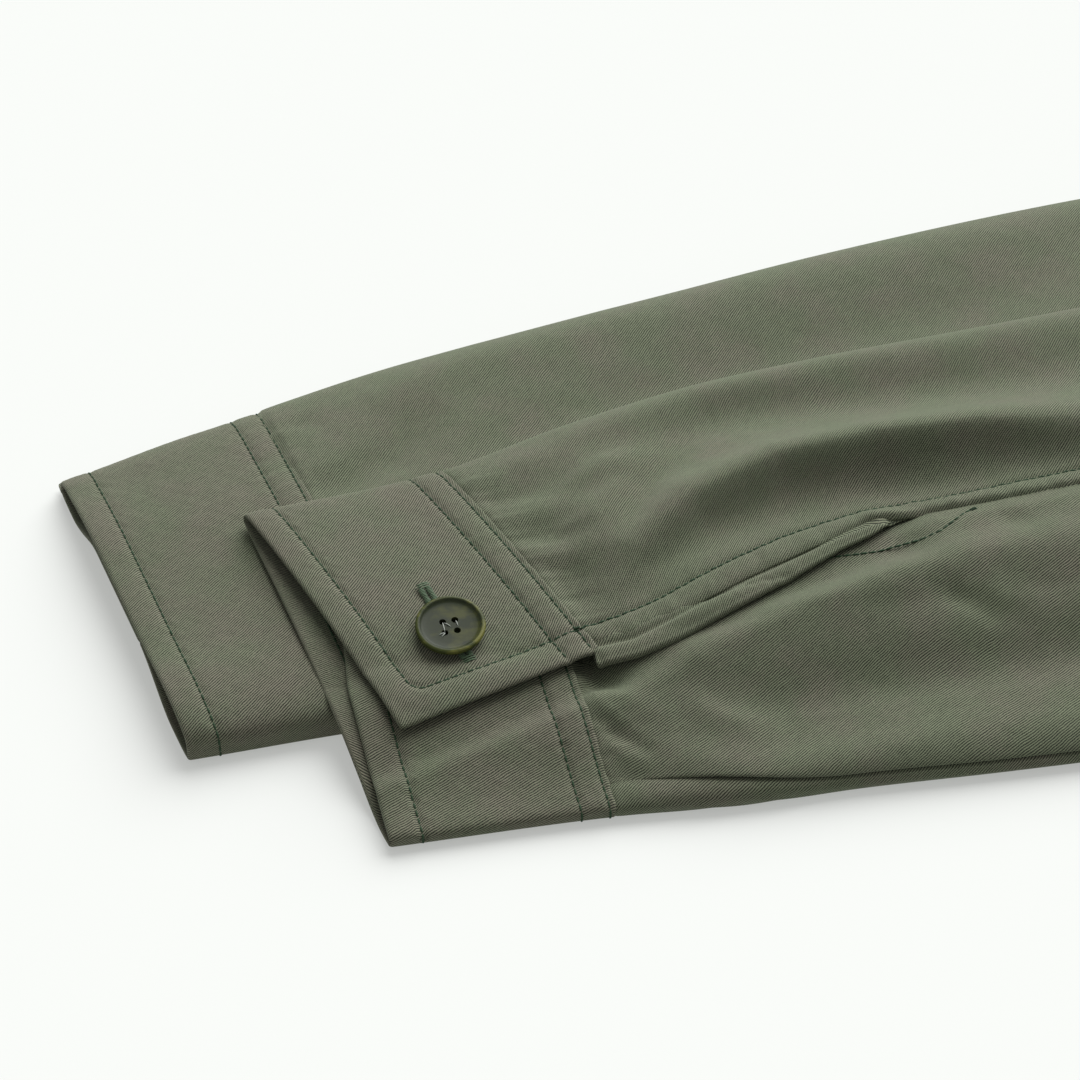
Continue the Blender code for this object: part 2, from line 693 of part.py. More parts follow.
def slab(name, rows):
    """A closed solid between two surfaces: rows of (x, y, low z, high z)."""
    bm = bmesh.new()
    low = [[bm.verts.new(in_metres(x, y, z)) for x, y, z, _ in row] for row in rows]
    high = [[bm.verts.new(in_metres(x, y, z)) for x, y, _, z in row] for row in rows]
    for sheet in (low, high):
        for near, far in zip(sheet, sheet[1:]):
            for k in range(len(near) - 1):
                bm.faces.new((near[k], near[k + 1], far[k + 1], far[k]))
    ends = [(low[0], high[0]), (low[-1], high[-1])]
    ends += [([row[k] for row in low], [row[k] for row in high]) for k in (0, -1)]
    for under, over in ends:
        for k in range(len(under) - 1):
            bm.faces.new((under[k], under[k + 1], over[k + 1], over[k]))
    bmesh.ops.recalc_face_normals(bm, faces=bm.faces)
    if bm.calc_volume(signed=True) < 0.0:
        bmesh.ops.reverse_faces(bm, faces=bm.faces)
    mesh = bpy.data.meshes.new(name)
    bm.to_mesh(mesh)
    bm.free()
    return mesh


def make_front(side, material, collection):
    """A hidden front between the halves of the back, as a rounded solid that
    fills its share of the fold. The left front lies on the right one."""
    shift = FOLD_OFFSET if side == "left" else -FOLD_OFFSET
    counts = FRONT_LEFT_STEPS if side == "left" else FRONT_RIGHT_STEPS
    ends_x = body_x(SHOULDER_TIP[0] + shift, -FRONT_INSET, shift, counts)
    rows = []
    for share in BODY_SHARES:
        edge = side_edge(HEM_BAND + share * (SHOULDER_TIP[1] - HEM_BAND)) + shift
        row = []
        for x, end_x in zip(body_x(edge, -FRONT_INSET, shift, counts), ends_x):
            y = body_y(share, front_end(-abs(end_x - shift)))
            top_of_right = right_half_top(x, y)
            if side == "right":
                row.append((x, y, WALL + SEAM_GAP, top_of_right))
            else:
                high = max(under_left_back(x, y), top_of_right + LAY_GAP)
                row.append((x, y, top_of_right + SEAM_GAP, high))
        rows.append(row)
    name = "front_%s" % side
    place(name, slab(name, rows), material, collection)


def hem_line(_):
    """The hem is straight."""
    return 0.0


def back_neckline(x):
    """Where the collar starts on the back."""
    return back_end(x) + NECK_GAP


def front_neckline(x):
    """Where the collar starts on the fronts."""
    return front_end(x) + NECK_GAP


def make_band(name, left_x, right_x, back_y, front_y, height, step, material, collection):
    """A doubled band, laid in four layers. It runs from the centre front
    round the front fold, the left edge, the folded back and the right edge
    to the centre front again."""
    right_back, right_front, left_front, left_back = BAND_LEVELS
    path = []

    def straight(x0, x1, z, is_front, sign):
        flat_x = -BACK_NECK_FLAT - sign * FOLD_OFFSET
        between = [flat_x] if min(x0, x1) < flat_x < max(x0, x1) and not is_front else []
        stops = [x0] + between + [x1]
        counts = [max(1, round(abs(b - a) / step)) for a, b in zip(stops, stops[1:])]
        for x in stretches(stops, counts):
            path.append((x, z, x + sign * FOLD_OFFSET, is_front))

    def bend(x, low, high, side, start_low, half_x, is_front, drift=0.0):
        turns = np.linspace(-90.0, 90.0, 7)[1:-1]
        for angle in (turns if start_low else turns[::-1]):
            a = math.radians(angle)
            reach = side * math.cos(a) * (high - low) / 2
            path.append((x + reach, (low + high) / 2 + (high - low) / 2 * math.sin(a),
                         half_x + drift * angle / 90.0, is_front))

    inner = BAND_FRONT_TURN
    outer = -FOLD_DEPTH
    centre_front = -FOLD_OFFSET
    for x in np.linspace(centre_front + ZIP_WIDTH / 2 + SEAM_GAP, inner, 2):
        path.append((x, right_front, -x - FOLD_OFFSET, True))
    bend(inner, right_front, left_front, 1, True, FOLD_OFFSET, True, -inner)
    straight(inner, left_x, left_front, True, -1)
    bend(left_x, left_front, left_back, -1, True, left_x - FOLD_OFFSET, False)
    straight(left_x, outer, left_back, False, -1)
    bend(outer, right_back, left_back, 1, False, FOLD_OFFSET, False, FOLD_DEPTH)
    straight(outer, right_x, right_back, False, 1)
    bend(right_x, right_back, right_front, -1, True, right_x + FOLD_OFFSET, False)
    straight(right_x, centre_front - ZIP_WIDTH / 2 - SEAM_GAP, right_front, True, 1)
    rows = []
    for share in (0.0, 0.5, 1.0):
        row = []
        for x, z, half_x, is_front in path:
            start = (front_y if is_front else back_y)(-abs(half_x))
            row.append((x, start + height * share, z))
        rows.append(row)
    piece = place(name, loft(name, rows), material, collection)
    solid = piece.modifiers.new("wall", "SOLIDIFY")
    solid.thickness = BAND_WALL * MM
    solid.offset = 0.0


def make_zip(material, collection):
    """Lower end of the closed zip, in the hem band's front layer."""
    half, wall, chain = ZIP_WIDTH / 2, BAND_WALL / 2, ZIP_CHAIN / 2
    middle, level = -FOLD_OFFSET, BAND_LEVELS[1]
    outline = ((-half, -wall / 2), (half, -wall / 2), (half, wall / 2), (chain, wall / 2),
               (chain, wall), (-chain, wall), (-chain, wall / 2), (-half, wall / 2))
    rows = [[(middle + x, y, level + z) for x, z in outline] for y in (0.0, HEM_BAND)]
    place("zip", loft("zip", rows, closed=True), material, collection)


def main():
    clear_scene()
    jacket = bpy.data.collections.new("harrington_jacket")
    bpy.context.scene.collection.children.link(jacket)
    twill = surface("twill", CLOTH_COLOUR, 0.85)
    trim = surface("trim", TRIM_COLOUR, 0.7)
    resin = surface("resin", BUTTON_COLOUR, 0.25)

    make_sleeve("right", RIGHT, twill, jacket)
    make_right_cuff(twill, jacket)
    make_sleeve("left", LEFT, twill, jacket)
    make_left_cuff(twill, jacket)
    make_placket(twill, jacket)
    make_button(resin, jacket)
    make_back(twill, jacket)
    make_front("right", twill, jacket)
    make_front("left", twill, jacket)
    hem_left = -BAND_HALF + FOLD_OFFSET
    hem_right = -BAND_HALF - FOLD_OFFSET
    make_band("hem_band", hem_left, hem_right, hem_line, hem_line, HEM_BAND, HEM_BAND_STEP,
              twill, jacket)
    neck = SIDE_NECK[0]
    make_band("collar", neck + FOLD_OFFSET, neck - FOLD_OFFSET, back_neckline, front_neckline,
              COLLAR_STAND, COLLAR_STEP, twill, jacket)
    make_zip(trim, jacket)


main()
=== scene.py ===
"""The looks of a harrington jacket, folded in half along the back and laid flat.

Sizes are in millimetres in the layout frame: X runs to the folded edge of the
back, Y from the hem to the collar, Z up. in_metres() takes them to the frame.
"""
import math

import bpy
import bmesh
import numpy as np
from mathutils import Matrix, Vector


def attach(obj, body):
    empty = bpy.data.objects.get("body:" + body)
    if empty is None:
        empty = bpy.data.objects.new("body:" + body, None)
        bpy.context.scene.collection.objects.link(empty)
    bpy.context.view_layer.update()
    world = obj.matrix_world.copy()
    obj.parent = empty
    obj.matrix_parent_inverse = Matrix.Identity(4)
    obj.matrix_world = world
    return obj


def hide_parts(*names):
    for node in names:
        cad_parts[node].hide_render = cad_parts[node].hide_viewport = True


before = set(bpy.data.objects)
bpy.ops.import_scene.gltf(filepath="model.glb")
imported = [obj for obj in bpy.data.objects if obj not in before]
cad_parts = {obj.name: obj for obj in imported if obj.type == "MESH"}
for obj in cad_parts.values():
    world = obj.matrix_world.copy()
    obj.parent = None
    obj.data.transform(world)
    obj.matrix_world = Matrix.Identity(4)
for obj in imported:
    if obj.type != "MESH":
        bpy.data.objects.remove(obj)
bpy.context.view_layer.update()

MM = 0.001
ORIGIN = (-391.9, 363.95)

# ---- the cut and the lay, as in the solids ---------------------------------
LAY_GAP = 1.1
SEAM_GAP = 0.3
FOLD_EDGE = 2.5
ROUNDNESS = 2.6
DOME_REACH = 75.0
CHEST_HALF = 280.0
HEM_HALF = 252.0
BAND_HALF = 246.0
PIT_Y = 400.0
SHOULDER_TIP = (-228.0, 625.0)
SIDE_NECK = (-85.0, 665.0)
SHOULDER_MIDDLE = (-140.0, 649.6)
BACK_NECK_Y = 650.0
BACK_NECK_FLAT = 45.0
FRONT_NECK_Y = 590.0
ARMHOLE_HOLLOW = 40.0
SIDE_SWELL = 0.9
HEM_BAND = 60.0
COLLAR_STAND = 62.0
NECK_GAP = 0.9
FOLD_OFFSET = 32.25
BODY_LOFT = 9.5
FOLD_DEPTH = 10.0
FRONT_INSET = 15.0
ARMHOLE_GAP = 0.8
BAND_LEVELS = (1.1, 6.2, 11.9, 18.9)
BAND_FRONT_TURN = -12.0
ZIP_WIDTH = 29.0

SLEEVE_ANGLE = math.radians(36.0)
DRAPE_OUT = 38.0
DRAPE_IN = 6.0
EDGE_HOLD = 9.0
MOUTH_OUT = 26.0
MOUTH_IN = -10.0
ARMHOLE_REACH = 60.0
LOWER_FLAT = 1.15
RELIEF_FADE = 1.2
LEFT_CUFF_AT = (-678.25, 192.0)
RIGHT_CUFF_AT = (-742.75, 200.3)

SECTION_COLUMNS = ("low_s", "low_v", "up_s", "up_v", "loft")
LEFT_SECTIONS = (
    (7.5, -59.5, -7.0, 61.0, 6.5),
    (71.5, -65.5, 54.5, 63.5, 7.5),
    (104.0, -70.5, 92.0, 71.5, 10.0),
    (138.0, -73.5, 132.0, 78.0, 10.5),
    (178.0, -78.5, 178.0, 81.5, 10.5),
    (225.0, -83.5, 232.0, 82.5, 10.5),
    (290.0, -88.0, 310.0, 84.5, 10.0),
    (360.0, -89.5, 400.0, 86.5, 10.0),
    (420.0, -88.5, 500.0, 84.5, 9.8),
    (450.0, -86.5, 585.0, 77.5, 9.6),
)
RIGHT_SECTIONS = (
    (8.0, -58.5, -8.0, 59.0, 13.5),
    (68.0, -61.5, 52.0, 70.0, 13.5),
    (104.0, -66.5, 92.0, 78.5, 13.5),
    (140.0, -70.5, 135.0, 84.0, 13.5),
    (182.0, -75.5, 182.0, 90.0, 13.0),
    (230.0, -80.5, 240.0, 96.5, 12.5),
    (290.0, -85.0, 320.0, 101.5, 12.0),
    (360.0, -89.0, 410.0, 100.5, 11.0),
    (415.0, -91.0, 505.0, 91.5, 10.5),
    (445.0, -92.0, 585.0, 75.5, 10.0),
)
SEAM_COLUMNS = ("s", "seam_v", "placket_v", "stitch_v")
BACK_ARM_SEAM = (
    (72.0, -15.5, -23.2, -9.2),
    (88.0, -16.0, -23.3, -7.4),
    (100.0, -13.5, -21.2, -5.0),
    (114.0, -9.3, -17.3, -0.8),
    (127.0, -5.2, -13.3, 3.3),
    (140.0, -1.5, -8.5, 7.2),
    (155.0, 2.8, -2.4, 10.3),
    (166.0, 5.5, 0.8, 12.2),
    (180.0, 5.4, 3.4, 12.4),
    (260.0, 5.0, 4.0, 12.0),
    (640.0, 0.0, 0.0, 8.0),
)
SLIT_END = 180.0
SLIT_CLOSING = (-10.0, 6.0)
OVERLAP_TURN = 14.5
OVERLAP_EDGE_HEM = -0.485
OVERLAP_EDGE_SEAM = -0.255
UNDERARM_SIDE = -0.6
UNDERLAP_END = 0.12
UNDERLAP_DIP = 3.0
UNDERLAP_REACH = 9.0
UNDERLAP_DRAWN = 2.6
TURN_FADE = 0.25
UNDERARM_SEAM = (-0.865, -0.975)
UNDERARM_FADE = 0.14
UNDERARM_STEP = 0.9
UNDERLAP_PULL = (-0.24, 0.35)
ARMHOLE_FROM = 0.6
MEETS_BODY = (0.8, 0.2)
JUST_ABOVE = 0.001
RIGHT_SLIT = -0.3
RIGHT_SLIT_TURN = 0.3

# ---- finish: walls, sewing and weave ----------------------------------------
CLOTH = 1.1               # one layer with its nap
CUFF_CLOTH = 1.7          # two layers with their interlining
BAND_CLOTH = 2.2
CUFF_END = {"left": -2.8, "right": 2.8}   # the cuff's edge from the row 0
CUFF_SQUARE = 4.4         # superellipse powers: a cuff lies flatter than its sleeve
SLEEVE_SQUARE = 3.0
SQUARE_FADE = 0.3
TUCKED = 5.0              # so much of a sleeve is hidden inside its cuff
LAP = 5.0                 # so much of the under sleeve is hidden by the top sleeve
SEWN_IN = 8.3             # the stitching from the edge
SEWN_CORNER = 4.0         # radius of the stitched corner
EDGE_STITCH = 0.9         # the outer row of the cuff's seam, from its edge
TWIN = 8.0                # and the inner row from the outer one
STITCH = 2.5
THREAD = 0.32             # radius
WALE = 0.66               # one diagonal of the twill
BUTTON_AT = (39.1, -0.9)
BUTTON_SIZE = 20.0
BUTTON_THICK = 3.0
BUTTON_LIFT = 0.35


def column(table, names, name):
    return np.array([row[names.index(name)] for row in table])


def smooth(x):
    x = np.clip(x, 0.0, 1.0)
    return x * x * (3.0 - 2.0 * x)


def rising(value, start, reach):
    """0 up to the start and 1 from so far beyond it. The two together are a span."""
    return smooth((value - start) / reach)


def bell(off, width):
    return np.exp(-((off / width) ** 2))


def swell(off, height, at, width):
    return height * bell(off - at, width)


def arch(share):
    """0 at both ends of a share from 0 to 1, and 1 in its middle."""
    return np.sin(np.clip(share, 0.0, 1.0) * math.pi)


def running_length(points):
    """Length from the start of each line of points to each of its points."""
    steps = np.linalg.norm(np.diff(points, axis=-2), axis=-1)
    return np.concatenate([np.zeros_like(steps[..., :1]), np.cumsum(steps, axis=-1)], axis=-1)


def curve_through(xs, ys, x):
    slopes = np.gradient(ys, xs)
    x = np.asarray(x, float)
    i = np.clip(np.searchsorted(xs, x) - 1, 0, len(xs) - 2)
    span = xs[i + 1] - xs[i]
    t = np.clip((x - xs[i]) / span, 0.0, 1.0)
    return ((2 * t**3 - 3 * t**2 + 1) * ys[i] + (t**3 - 2 * t**2 + t) * span * slopes[i]
            + (3 * t**2 - 2 * t**3) * ys[i + 1] + (t**3 - t**2) * span * slopes[i + 1])


def dome(share, power=ROUNDNESS):
    share = np.clip(np.abs(share), 0.0, 1.0)
    return (1.0 - share**power) ** (1.0 / power)


def to_segment(x, y, a, b):
    ax, ay = a
    bx, by = b
    t = ((x - ax) * (bx - ax) + (y - ay) * (by - ay)) / ((bx - ax) ** 2 + (by - ay) ** 2)
    t = np.clip(t, 0.0, 1.0)
    return np.hypot(x - ax - t * (bx - ax), y - ay - t * (by - ay))


# ---- the body's outline and heights -----------------------------------------
def side_edge(y):
    low = np.clip((y - HEM_BAND) / (PIT_Y - HEM_BAND), 0.0, 1.0)
    seam = -(HEM_HALF + (CHEST_HALF - HEM_HALF) * smooth(low) ** SIDE_SWELL)
    tip_x, tip_y = SHOULDER_TIP
    share = np.clip((y - PIT_Y) / (tip_y - PIT_Y), 0.0, 1.0)
    straight = -CHEST_HALF + (tip_x + CHEST_HALF) * share
    return np.where(y <= PIT_Y, seam, straight + ARMHOLE_HOLLOW * np.sin(math.pi * share))


def back_end(x):
    stops = (SHOULDER_TIP[0], SIDE_NECK[0], -BACK_NECK_FLAT)
    return np.interp(x, stops, (SHOULDER_TIP[1], SIDE_NECK[1], BACK_NECK_Y))


def front_end(x):
    share = np.clip((x - SIDE_NECK[0]) / -SIDE_NECK[0], 0.0, 1.0)
    neck = SIDE_NECK[1] + (FRONT_NECK_Y - SIDE_NECK[1]) * np.sin(share * math.pi / 2)
    return np.where(x <= SIDE_NECK[0], back_end(x), neck)


def half_dome(x, y):
    side = to_segment(x, y, (-HEM_HALF, HEM_BAND), (-CHEST_HALF, PIT_Y))
    shoulder = to_segment(x, y, SHOULDER_TIP, SHOULDER_MIDDLE)
    return (dome(np.maximum(1.0 - side / DOME_REACH, 0.0))
            * dome(np.maximum(1.0 - shoulder / DOME_REACH, 0.0)))


def right_half_top(x, y):
    return FOLD_EDGE + (BODY_LOFT - FOLD_EDGE) * half_dome(x + FOLD_OFFSET, y)


def left_half_top(x, y):
    rise = FOLD_EDGE + (BODY_LOFT - FOLD_EDGE) * half_dome(x - FOLD_OFFSET, y)
    return right_half_top(x, y) + LAY_GAP + rise


# ---- sleeves -----------------------------------------------------------------
class Sleeve:
    """A flattened tube. Row q: 0 at the cuff's seam, 1 at the armhole. Place w:
    -1 at the lower fold, 1 at the upper one."""

    def __init__(self, side, mouth, table, shift):
        self.side = side
        self.mouth = mouth
        self.axis = (math.cos(SLEEVE_ANGLE), math.sin(SLEEVE_ANGLE))
        pit = self.across(-CHEST_HALF + shift, PIT_Y)
        tip = self.across(SHOULDER_TIP[0] + shift, SHOULDER_TIP[1])
        rows = list(table) + [(*pit, *tip, BODY_LOFT)]
        self.sections = {name: column(rows, SECTION_COLUMNS, name) for name in SECTION_COLUMNS}
        self.middle = (self.sections["low_s"] + self.sections["up_s"]) / 2
        self.length = self.middle[-1] - self.middle[1]
        self.share = (self.middle - self.middle[1]) / self.length

    def across(self, x, y):
        dx, dy = x - self.mouth[0], y - self.mouth[1]
        c, n = self.axis
        return dx * c + dy * n, -dx * n + dy * c

    def plan(self, s, v):
        c, n = self.axis
        return self.mouth[0] + s * c - v * n, self.mouth[1] + s * n + v * c

    def section(self, q):
        return [curve_through(self.share, self.sections[name], q) for name in SECTION_COLUMNS]

    def half_width(self, q):
        _, low_v, _, up_v, _ = self.section(q)
        return (up_v - low_v) / 2

    def spot(self, q, w):
        low_s, low_v, up_s, up_v, _ = self.section(q)
        t = (w + 1.0) / 2.0
        ease = rising(q, ARMHOLE_FROM, 1.0 - ARMHOLE_FROM)
        chord_x = -CHEST_HALF + (SHOULDER_TIP[0] + CHEST_HALF) * t
        hollow = side_edge(PIT_Y + (SHOULDER_TIP[1] - PIT_Y) * t + JUST_ABOVE) - chord_x
        c, n = self.axis
        s = low_s + (up_s - low_s) * t + (hollow * c - ARMHOLE_GAP) * ease
        v = low_v + (up_v - low_v) * t - hollow * n * ease
        return s, v

    def folds_at(self, s):
        low = np.interp(s, self.sections["low_s"], self.sections["low_v"])
        up = np.interp(s, self.sections["up_s"], self.sections["up_v"])
        return low, up, np.interp(s, self.middle, self.sections["loft"])


RIGHT = Sleeve("right", RIGHT_CUFF_AT, RIGHT_SECTIONS, -FOLD_OFFSET)
LEFT = Sleeve("left", LEFT_CUFF_AT, LEFT_SECTIONS, FOLD_OFFSET)


def eased_beside(distance):
    return smooth((distance + DRAPE_OUT) / (DRAPE_OUT + DRAPE_IN))


def right_sleeve_top(x, y):
    s, v = RIGHT.across(x, y)
    low, up, loft = RIGHT.folds_at(s)
    share = dome((np.maximum(v, low + EDGE_HOLD) - (low + up) / 2) / ((up - low) / 2))
    mouth = smooth((s + MOUTH_OUT) / (MOUTH_OUT + MOUTH_IN))
    top = FOLD_EDGE + (loft - FOLD_EDGE) * share
    near = s > RIGHT.middle[-2] - ARMHOLE_REACH
    top = np.where(near, np.maximum(top, right_half_top(x, y)), top)
    return top * eased_beside(v - low) * mouth


def right_body_top(x, y):
    edge = side_edge(np.clip(y, HEM_BAND, SHOULDER_TIP[1])) - FOLD_OFFSET
    return BODY_LOFT * eased_beside(x - edge)


def left_support(x, y):
    height = np.maximum(right_sleeve_top(x, y), right_body_top(x, y))
    return height + LAY_GAP * np.minimum(height / 3.0, 1.0)


LINE_PASSES = 6
PLACE_PASSES = 12
TINY = 1e-9
FAR = 1e9


def line_at(s, name):
    return np.interp(s, column(BACK_ARM_SEAM, SEAM_COLUMNS, "s"),
                     column(BACK_ARM_SEAM, SEAM_COLUMNS, name))


def line_w(sleeve, q, name):
    """Where a line of BACK_ARM_SEAM crosses the row q."""
    low_s, low_v, up_s, up_v, _ = sleeve.section(q)
    w = np.zeros_like(np.asarray(q, float))
    for _ in range(LINE_PASSES):
        s = low_s + (up_s - low_s) * (w + 1.0) / 2.0
        if sleeve is LEFT:
            s = s + turned(q, w, "over")
        w = (line_at(s, name) - low_v) / (up_v - low_v) * 2.0 - 1.0
    return w


def underarm_w(q):
    near_cuff, beyond = UNDERARM_SEAM
    return near_cuff + (beyond - near_cuff) * smooth(q / UNDERARM_FADE)


def overlap_edge_w(q):
    share = np.clip((q - LEFT.share[0]) / -LEFT.share[0], 0.0, 1.0)
    return OVERLAP_EDGE_HEM + (OVERLAP_EDGE_SEAM - OVERLAP_EDGE_HEM) * share


def turned(q, w, part):
    """How far the left cuff's turn moves a point of the upper layer along."""
    low_s, _, up_s, _, _ = LEFT.section(q)
    fade = 1.0 - smooth(q / TURN_FADE)
    level = (low_s - up_s) * (w + 1.0) / 2.0 * fade
    if part == "under":
        hem = smooth(q / LEFT.share[0])
        return level + UNDERLAP_DRAWN * rising(w, *UNDERLAP_PULL) * hem
    turn = OVERLAP_TURN * (1.0 - w) / (1.0 - overlap_edge_w(q)) * fade
    return np.where(w < UNDERARM_SIDE, level, turn)


def tucked(q, w, s):
    """How far the part under the overlap and slit lies below the part over them."""
    reach = UNDERLAP_REACH / LEFT.sections["up_v"][1]
    edge = np.where(q < 0.0, overlap_edge_w(q), line_w(LEFT, q, "seam_v"))
    start, end = SLIT_CLOSING
    depth = UNDERLAP_DIP * (1.0 - smooth((s - SLIT_END - start) / (end - start)))
    return depth * smooth((w - edge + 2.0 * reach) / reach)


def angle_of(w, upper):
    cosine = np.sign(w) * np.abs(w) ** (ROUNDNESS / 2.0)
    angle = np.degrees(np.arccos(np.clip(cosine, -1.0, 1.0)))
    return angle if upper else 360.0 - angle


def place_at(angle):
    cosine = np.cos(np.radians(angle))
    w = np.sign(cosine) * np.abs(cosine) ** (2.0 / ROUNDNESS)
    return w, np.sin(np.radians(angle)) >= -TINY


# ---- creases: soft ridges (+) and troughs (-) ---------------------------------
# Each crease is how much wider it is on its left, then a line of stations:
# along, across, half width, height. The body's creases lie in x and y.
def crease_field(s, v, creases):
    total = np.zeros_like(s)
    for lean, *stations in creases:
        best = np.full_like(s, FAR)
        value = np.zeros_like(s)
        for (s0, v0, w0, h0), (s1, v1, w1, h1) in zip(stations, stations[1:]):
            ds, dv = s1 - s0, v1 - v0
            t = np.clip(((s - s0) * ds + (v - v0) * dv) / (ds**2 + dv**2), 0.0, 1.0)
            off = np.hypot(s - s0 - t * ds, v - v0 - t * dv)
            left = (v - v0) * ds - (s - s0) * dv > 0.0
            width = (w0 + (w1 - w0) * t) * np.where(left, lean, 1.0)
            here = (h0 + (h1 - h0) * t) * bell(off, width)
            value = np.where(off < best, here, value)
            best = np.minimum(best, off)
        total += value
    return total


LEFT_TOP_CREASES = (
    # the main ridge, from the slit's corner up and along the sleeve
    (1.7, (78, -8, 4, 0.0), (86, 1, 5.5, 2.0), (98, 12, 6.2, 4.2), (118, 25, 6.2, 6.4),
     (146, 33, 6.0, 7.8), (178, 34, 6.0, 8.2), (209, 32, 6.4, 7.6), (246, 25, 8, 6.2),
     (330, 24, 13, 3.4), (420, 34, 18, 0.0)),
    # the lower ground below it, from the cuff's seam on
    (0.8, (66, 2, 10, -1.0), (80, 4, 13, -2.4), (96, 4, 13, -2.6), (112, 10, 12, -2.6),
     (132, 15, 12, -3.2), (154, 19, 11, -3.6), (176, 20, 11, -3.6), (196, 18, 11, -3.0),
     (225, 16, 13, -2.4), (260, 16, 16, -1.4), (300, 24, 16, 0.0)),
    # the hollow between it and the upper fold, and the fold's own ridge
    (1.0, (92, 52, 7, 0.0), (112, 55, 8, -1.6), (134, 59, 9, -2.6), (165, 58, 10, -3.2),
     (210, 56, 11, -3.6), (260, 52, 13, -3.0), (330, 52, 15, 0.0)),
    (1.0, (84, 62, 6, 0.0), (104, 66, 7, 1.4), (134, 73, 8, 2.6), (178, 76, 8, 3.0), (240, 77, 9, 2.6),
     (330, 78, 11, 1.6), (420, 78, 12, 0.0)),
    (1.0, (164, 25, 6, 0.0), (174, 19, 6, -0.9), (190, 16, 6, -1.1), (206, 17, 6, -0.6), (216, 18, 6, 0.0)),
    # puckers in the band at the placket's end
    (1.0, (160, 9, 2.5, 0.0), (168, 8, 2.6, 0.8), (175, 6.5, 2.4, 0.7), (181, 5, 2, 0.0)),
    (1.0, (174, 12, 2, 0.0), (179, 9.5, 2.2, -1.0), (185, 6.5, 2.2, -0.4), (188, 5, 2, 0.0)),
    # low ridge above the topstitching
    (1.0, (92, -1, 5, 0.0), (104, 2, 5, 0.6), (122, 6, 6, 1.0), (140, 10, 6, 0.8), (158, 14, 6, 0.0)),
    # a second ridge that bends up to the upper fold
    (1.0, (78, 10, 5, 0.0), (85, 20, 6, 1.4), (92, 32, 7, 1.8), (100, 44, 8, 1.4), (114, 56, 9, 1.0),
     (134, 64, 10, 0.0)),
    (1.0, (94, 14, 5, 0.0), (101, 24, 5, -1.2), (110, 38, 6, -1.5), (124, 50, 7, -1.0), (140, 58, 7, 0.0)),
    # crisp small ones near the cuff's seam
    (1.0, (82, 40, 2.6, 0.0), (90, 45, 3.0, 0.8), (99, 49, 3.4, 0.7), (109, 51, 4.0, 0.0)),
    (1.0, (84, 34, 2.4, 0.0), (92, 38, 2.8, -0.7), (101, 42, 3.2, -0.5), (110, 44, 4.0, 0.0)),
    (1.0, (73, 24, 2.2, 0.0), (80, 27, 2.6, 0.7), (89, 28, 3.0, 0.5), (98, 27, 3.4, 0.0)),
    # gathers beside the cuff's seam
    (1.0, (60, 42, 4.5, -0.8), (74, 44, 5, -1.0), (94, 48, 6, 0.0)),
    (1.0, (62, 29, 4, -0.6), (76, 26, 5, -1.1), (92, 22, 5, 0.0)),
    (1.0, (62, 36.5, 4, 0.6), (76, 36, 5, 0.9), (94, 37, 6, 0.0)),
    (1.0, (66, 14, 4, -0.5), (76, 11, 4.5, -0.7), (88, 9, 5, 0.0)),
    (1.0, (66, 20, 4, 0.5), (76, 18, 4.5, 0.7), (88, 16, 5, 0.0)),
    (1.0, (58, 53, 4.5, 0.7), (76, 57, 5.5, 0.9), (98, 61, 6, 0.0)),
    (1.0, (70, 2, 3, -0.5), (80, 0, 3.5, -0.8), (90, 0, 4, 0.0)),
)
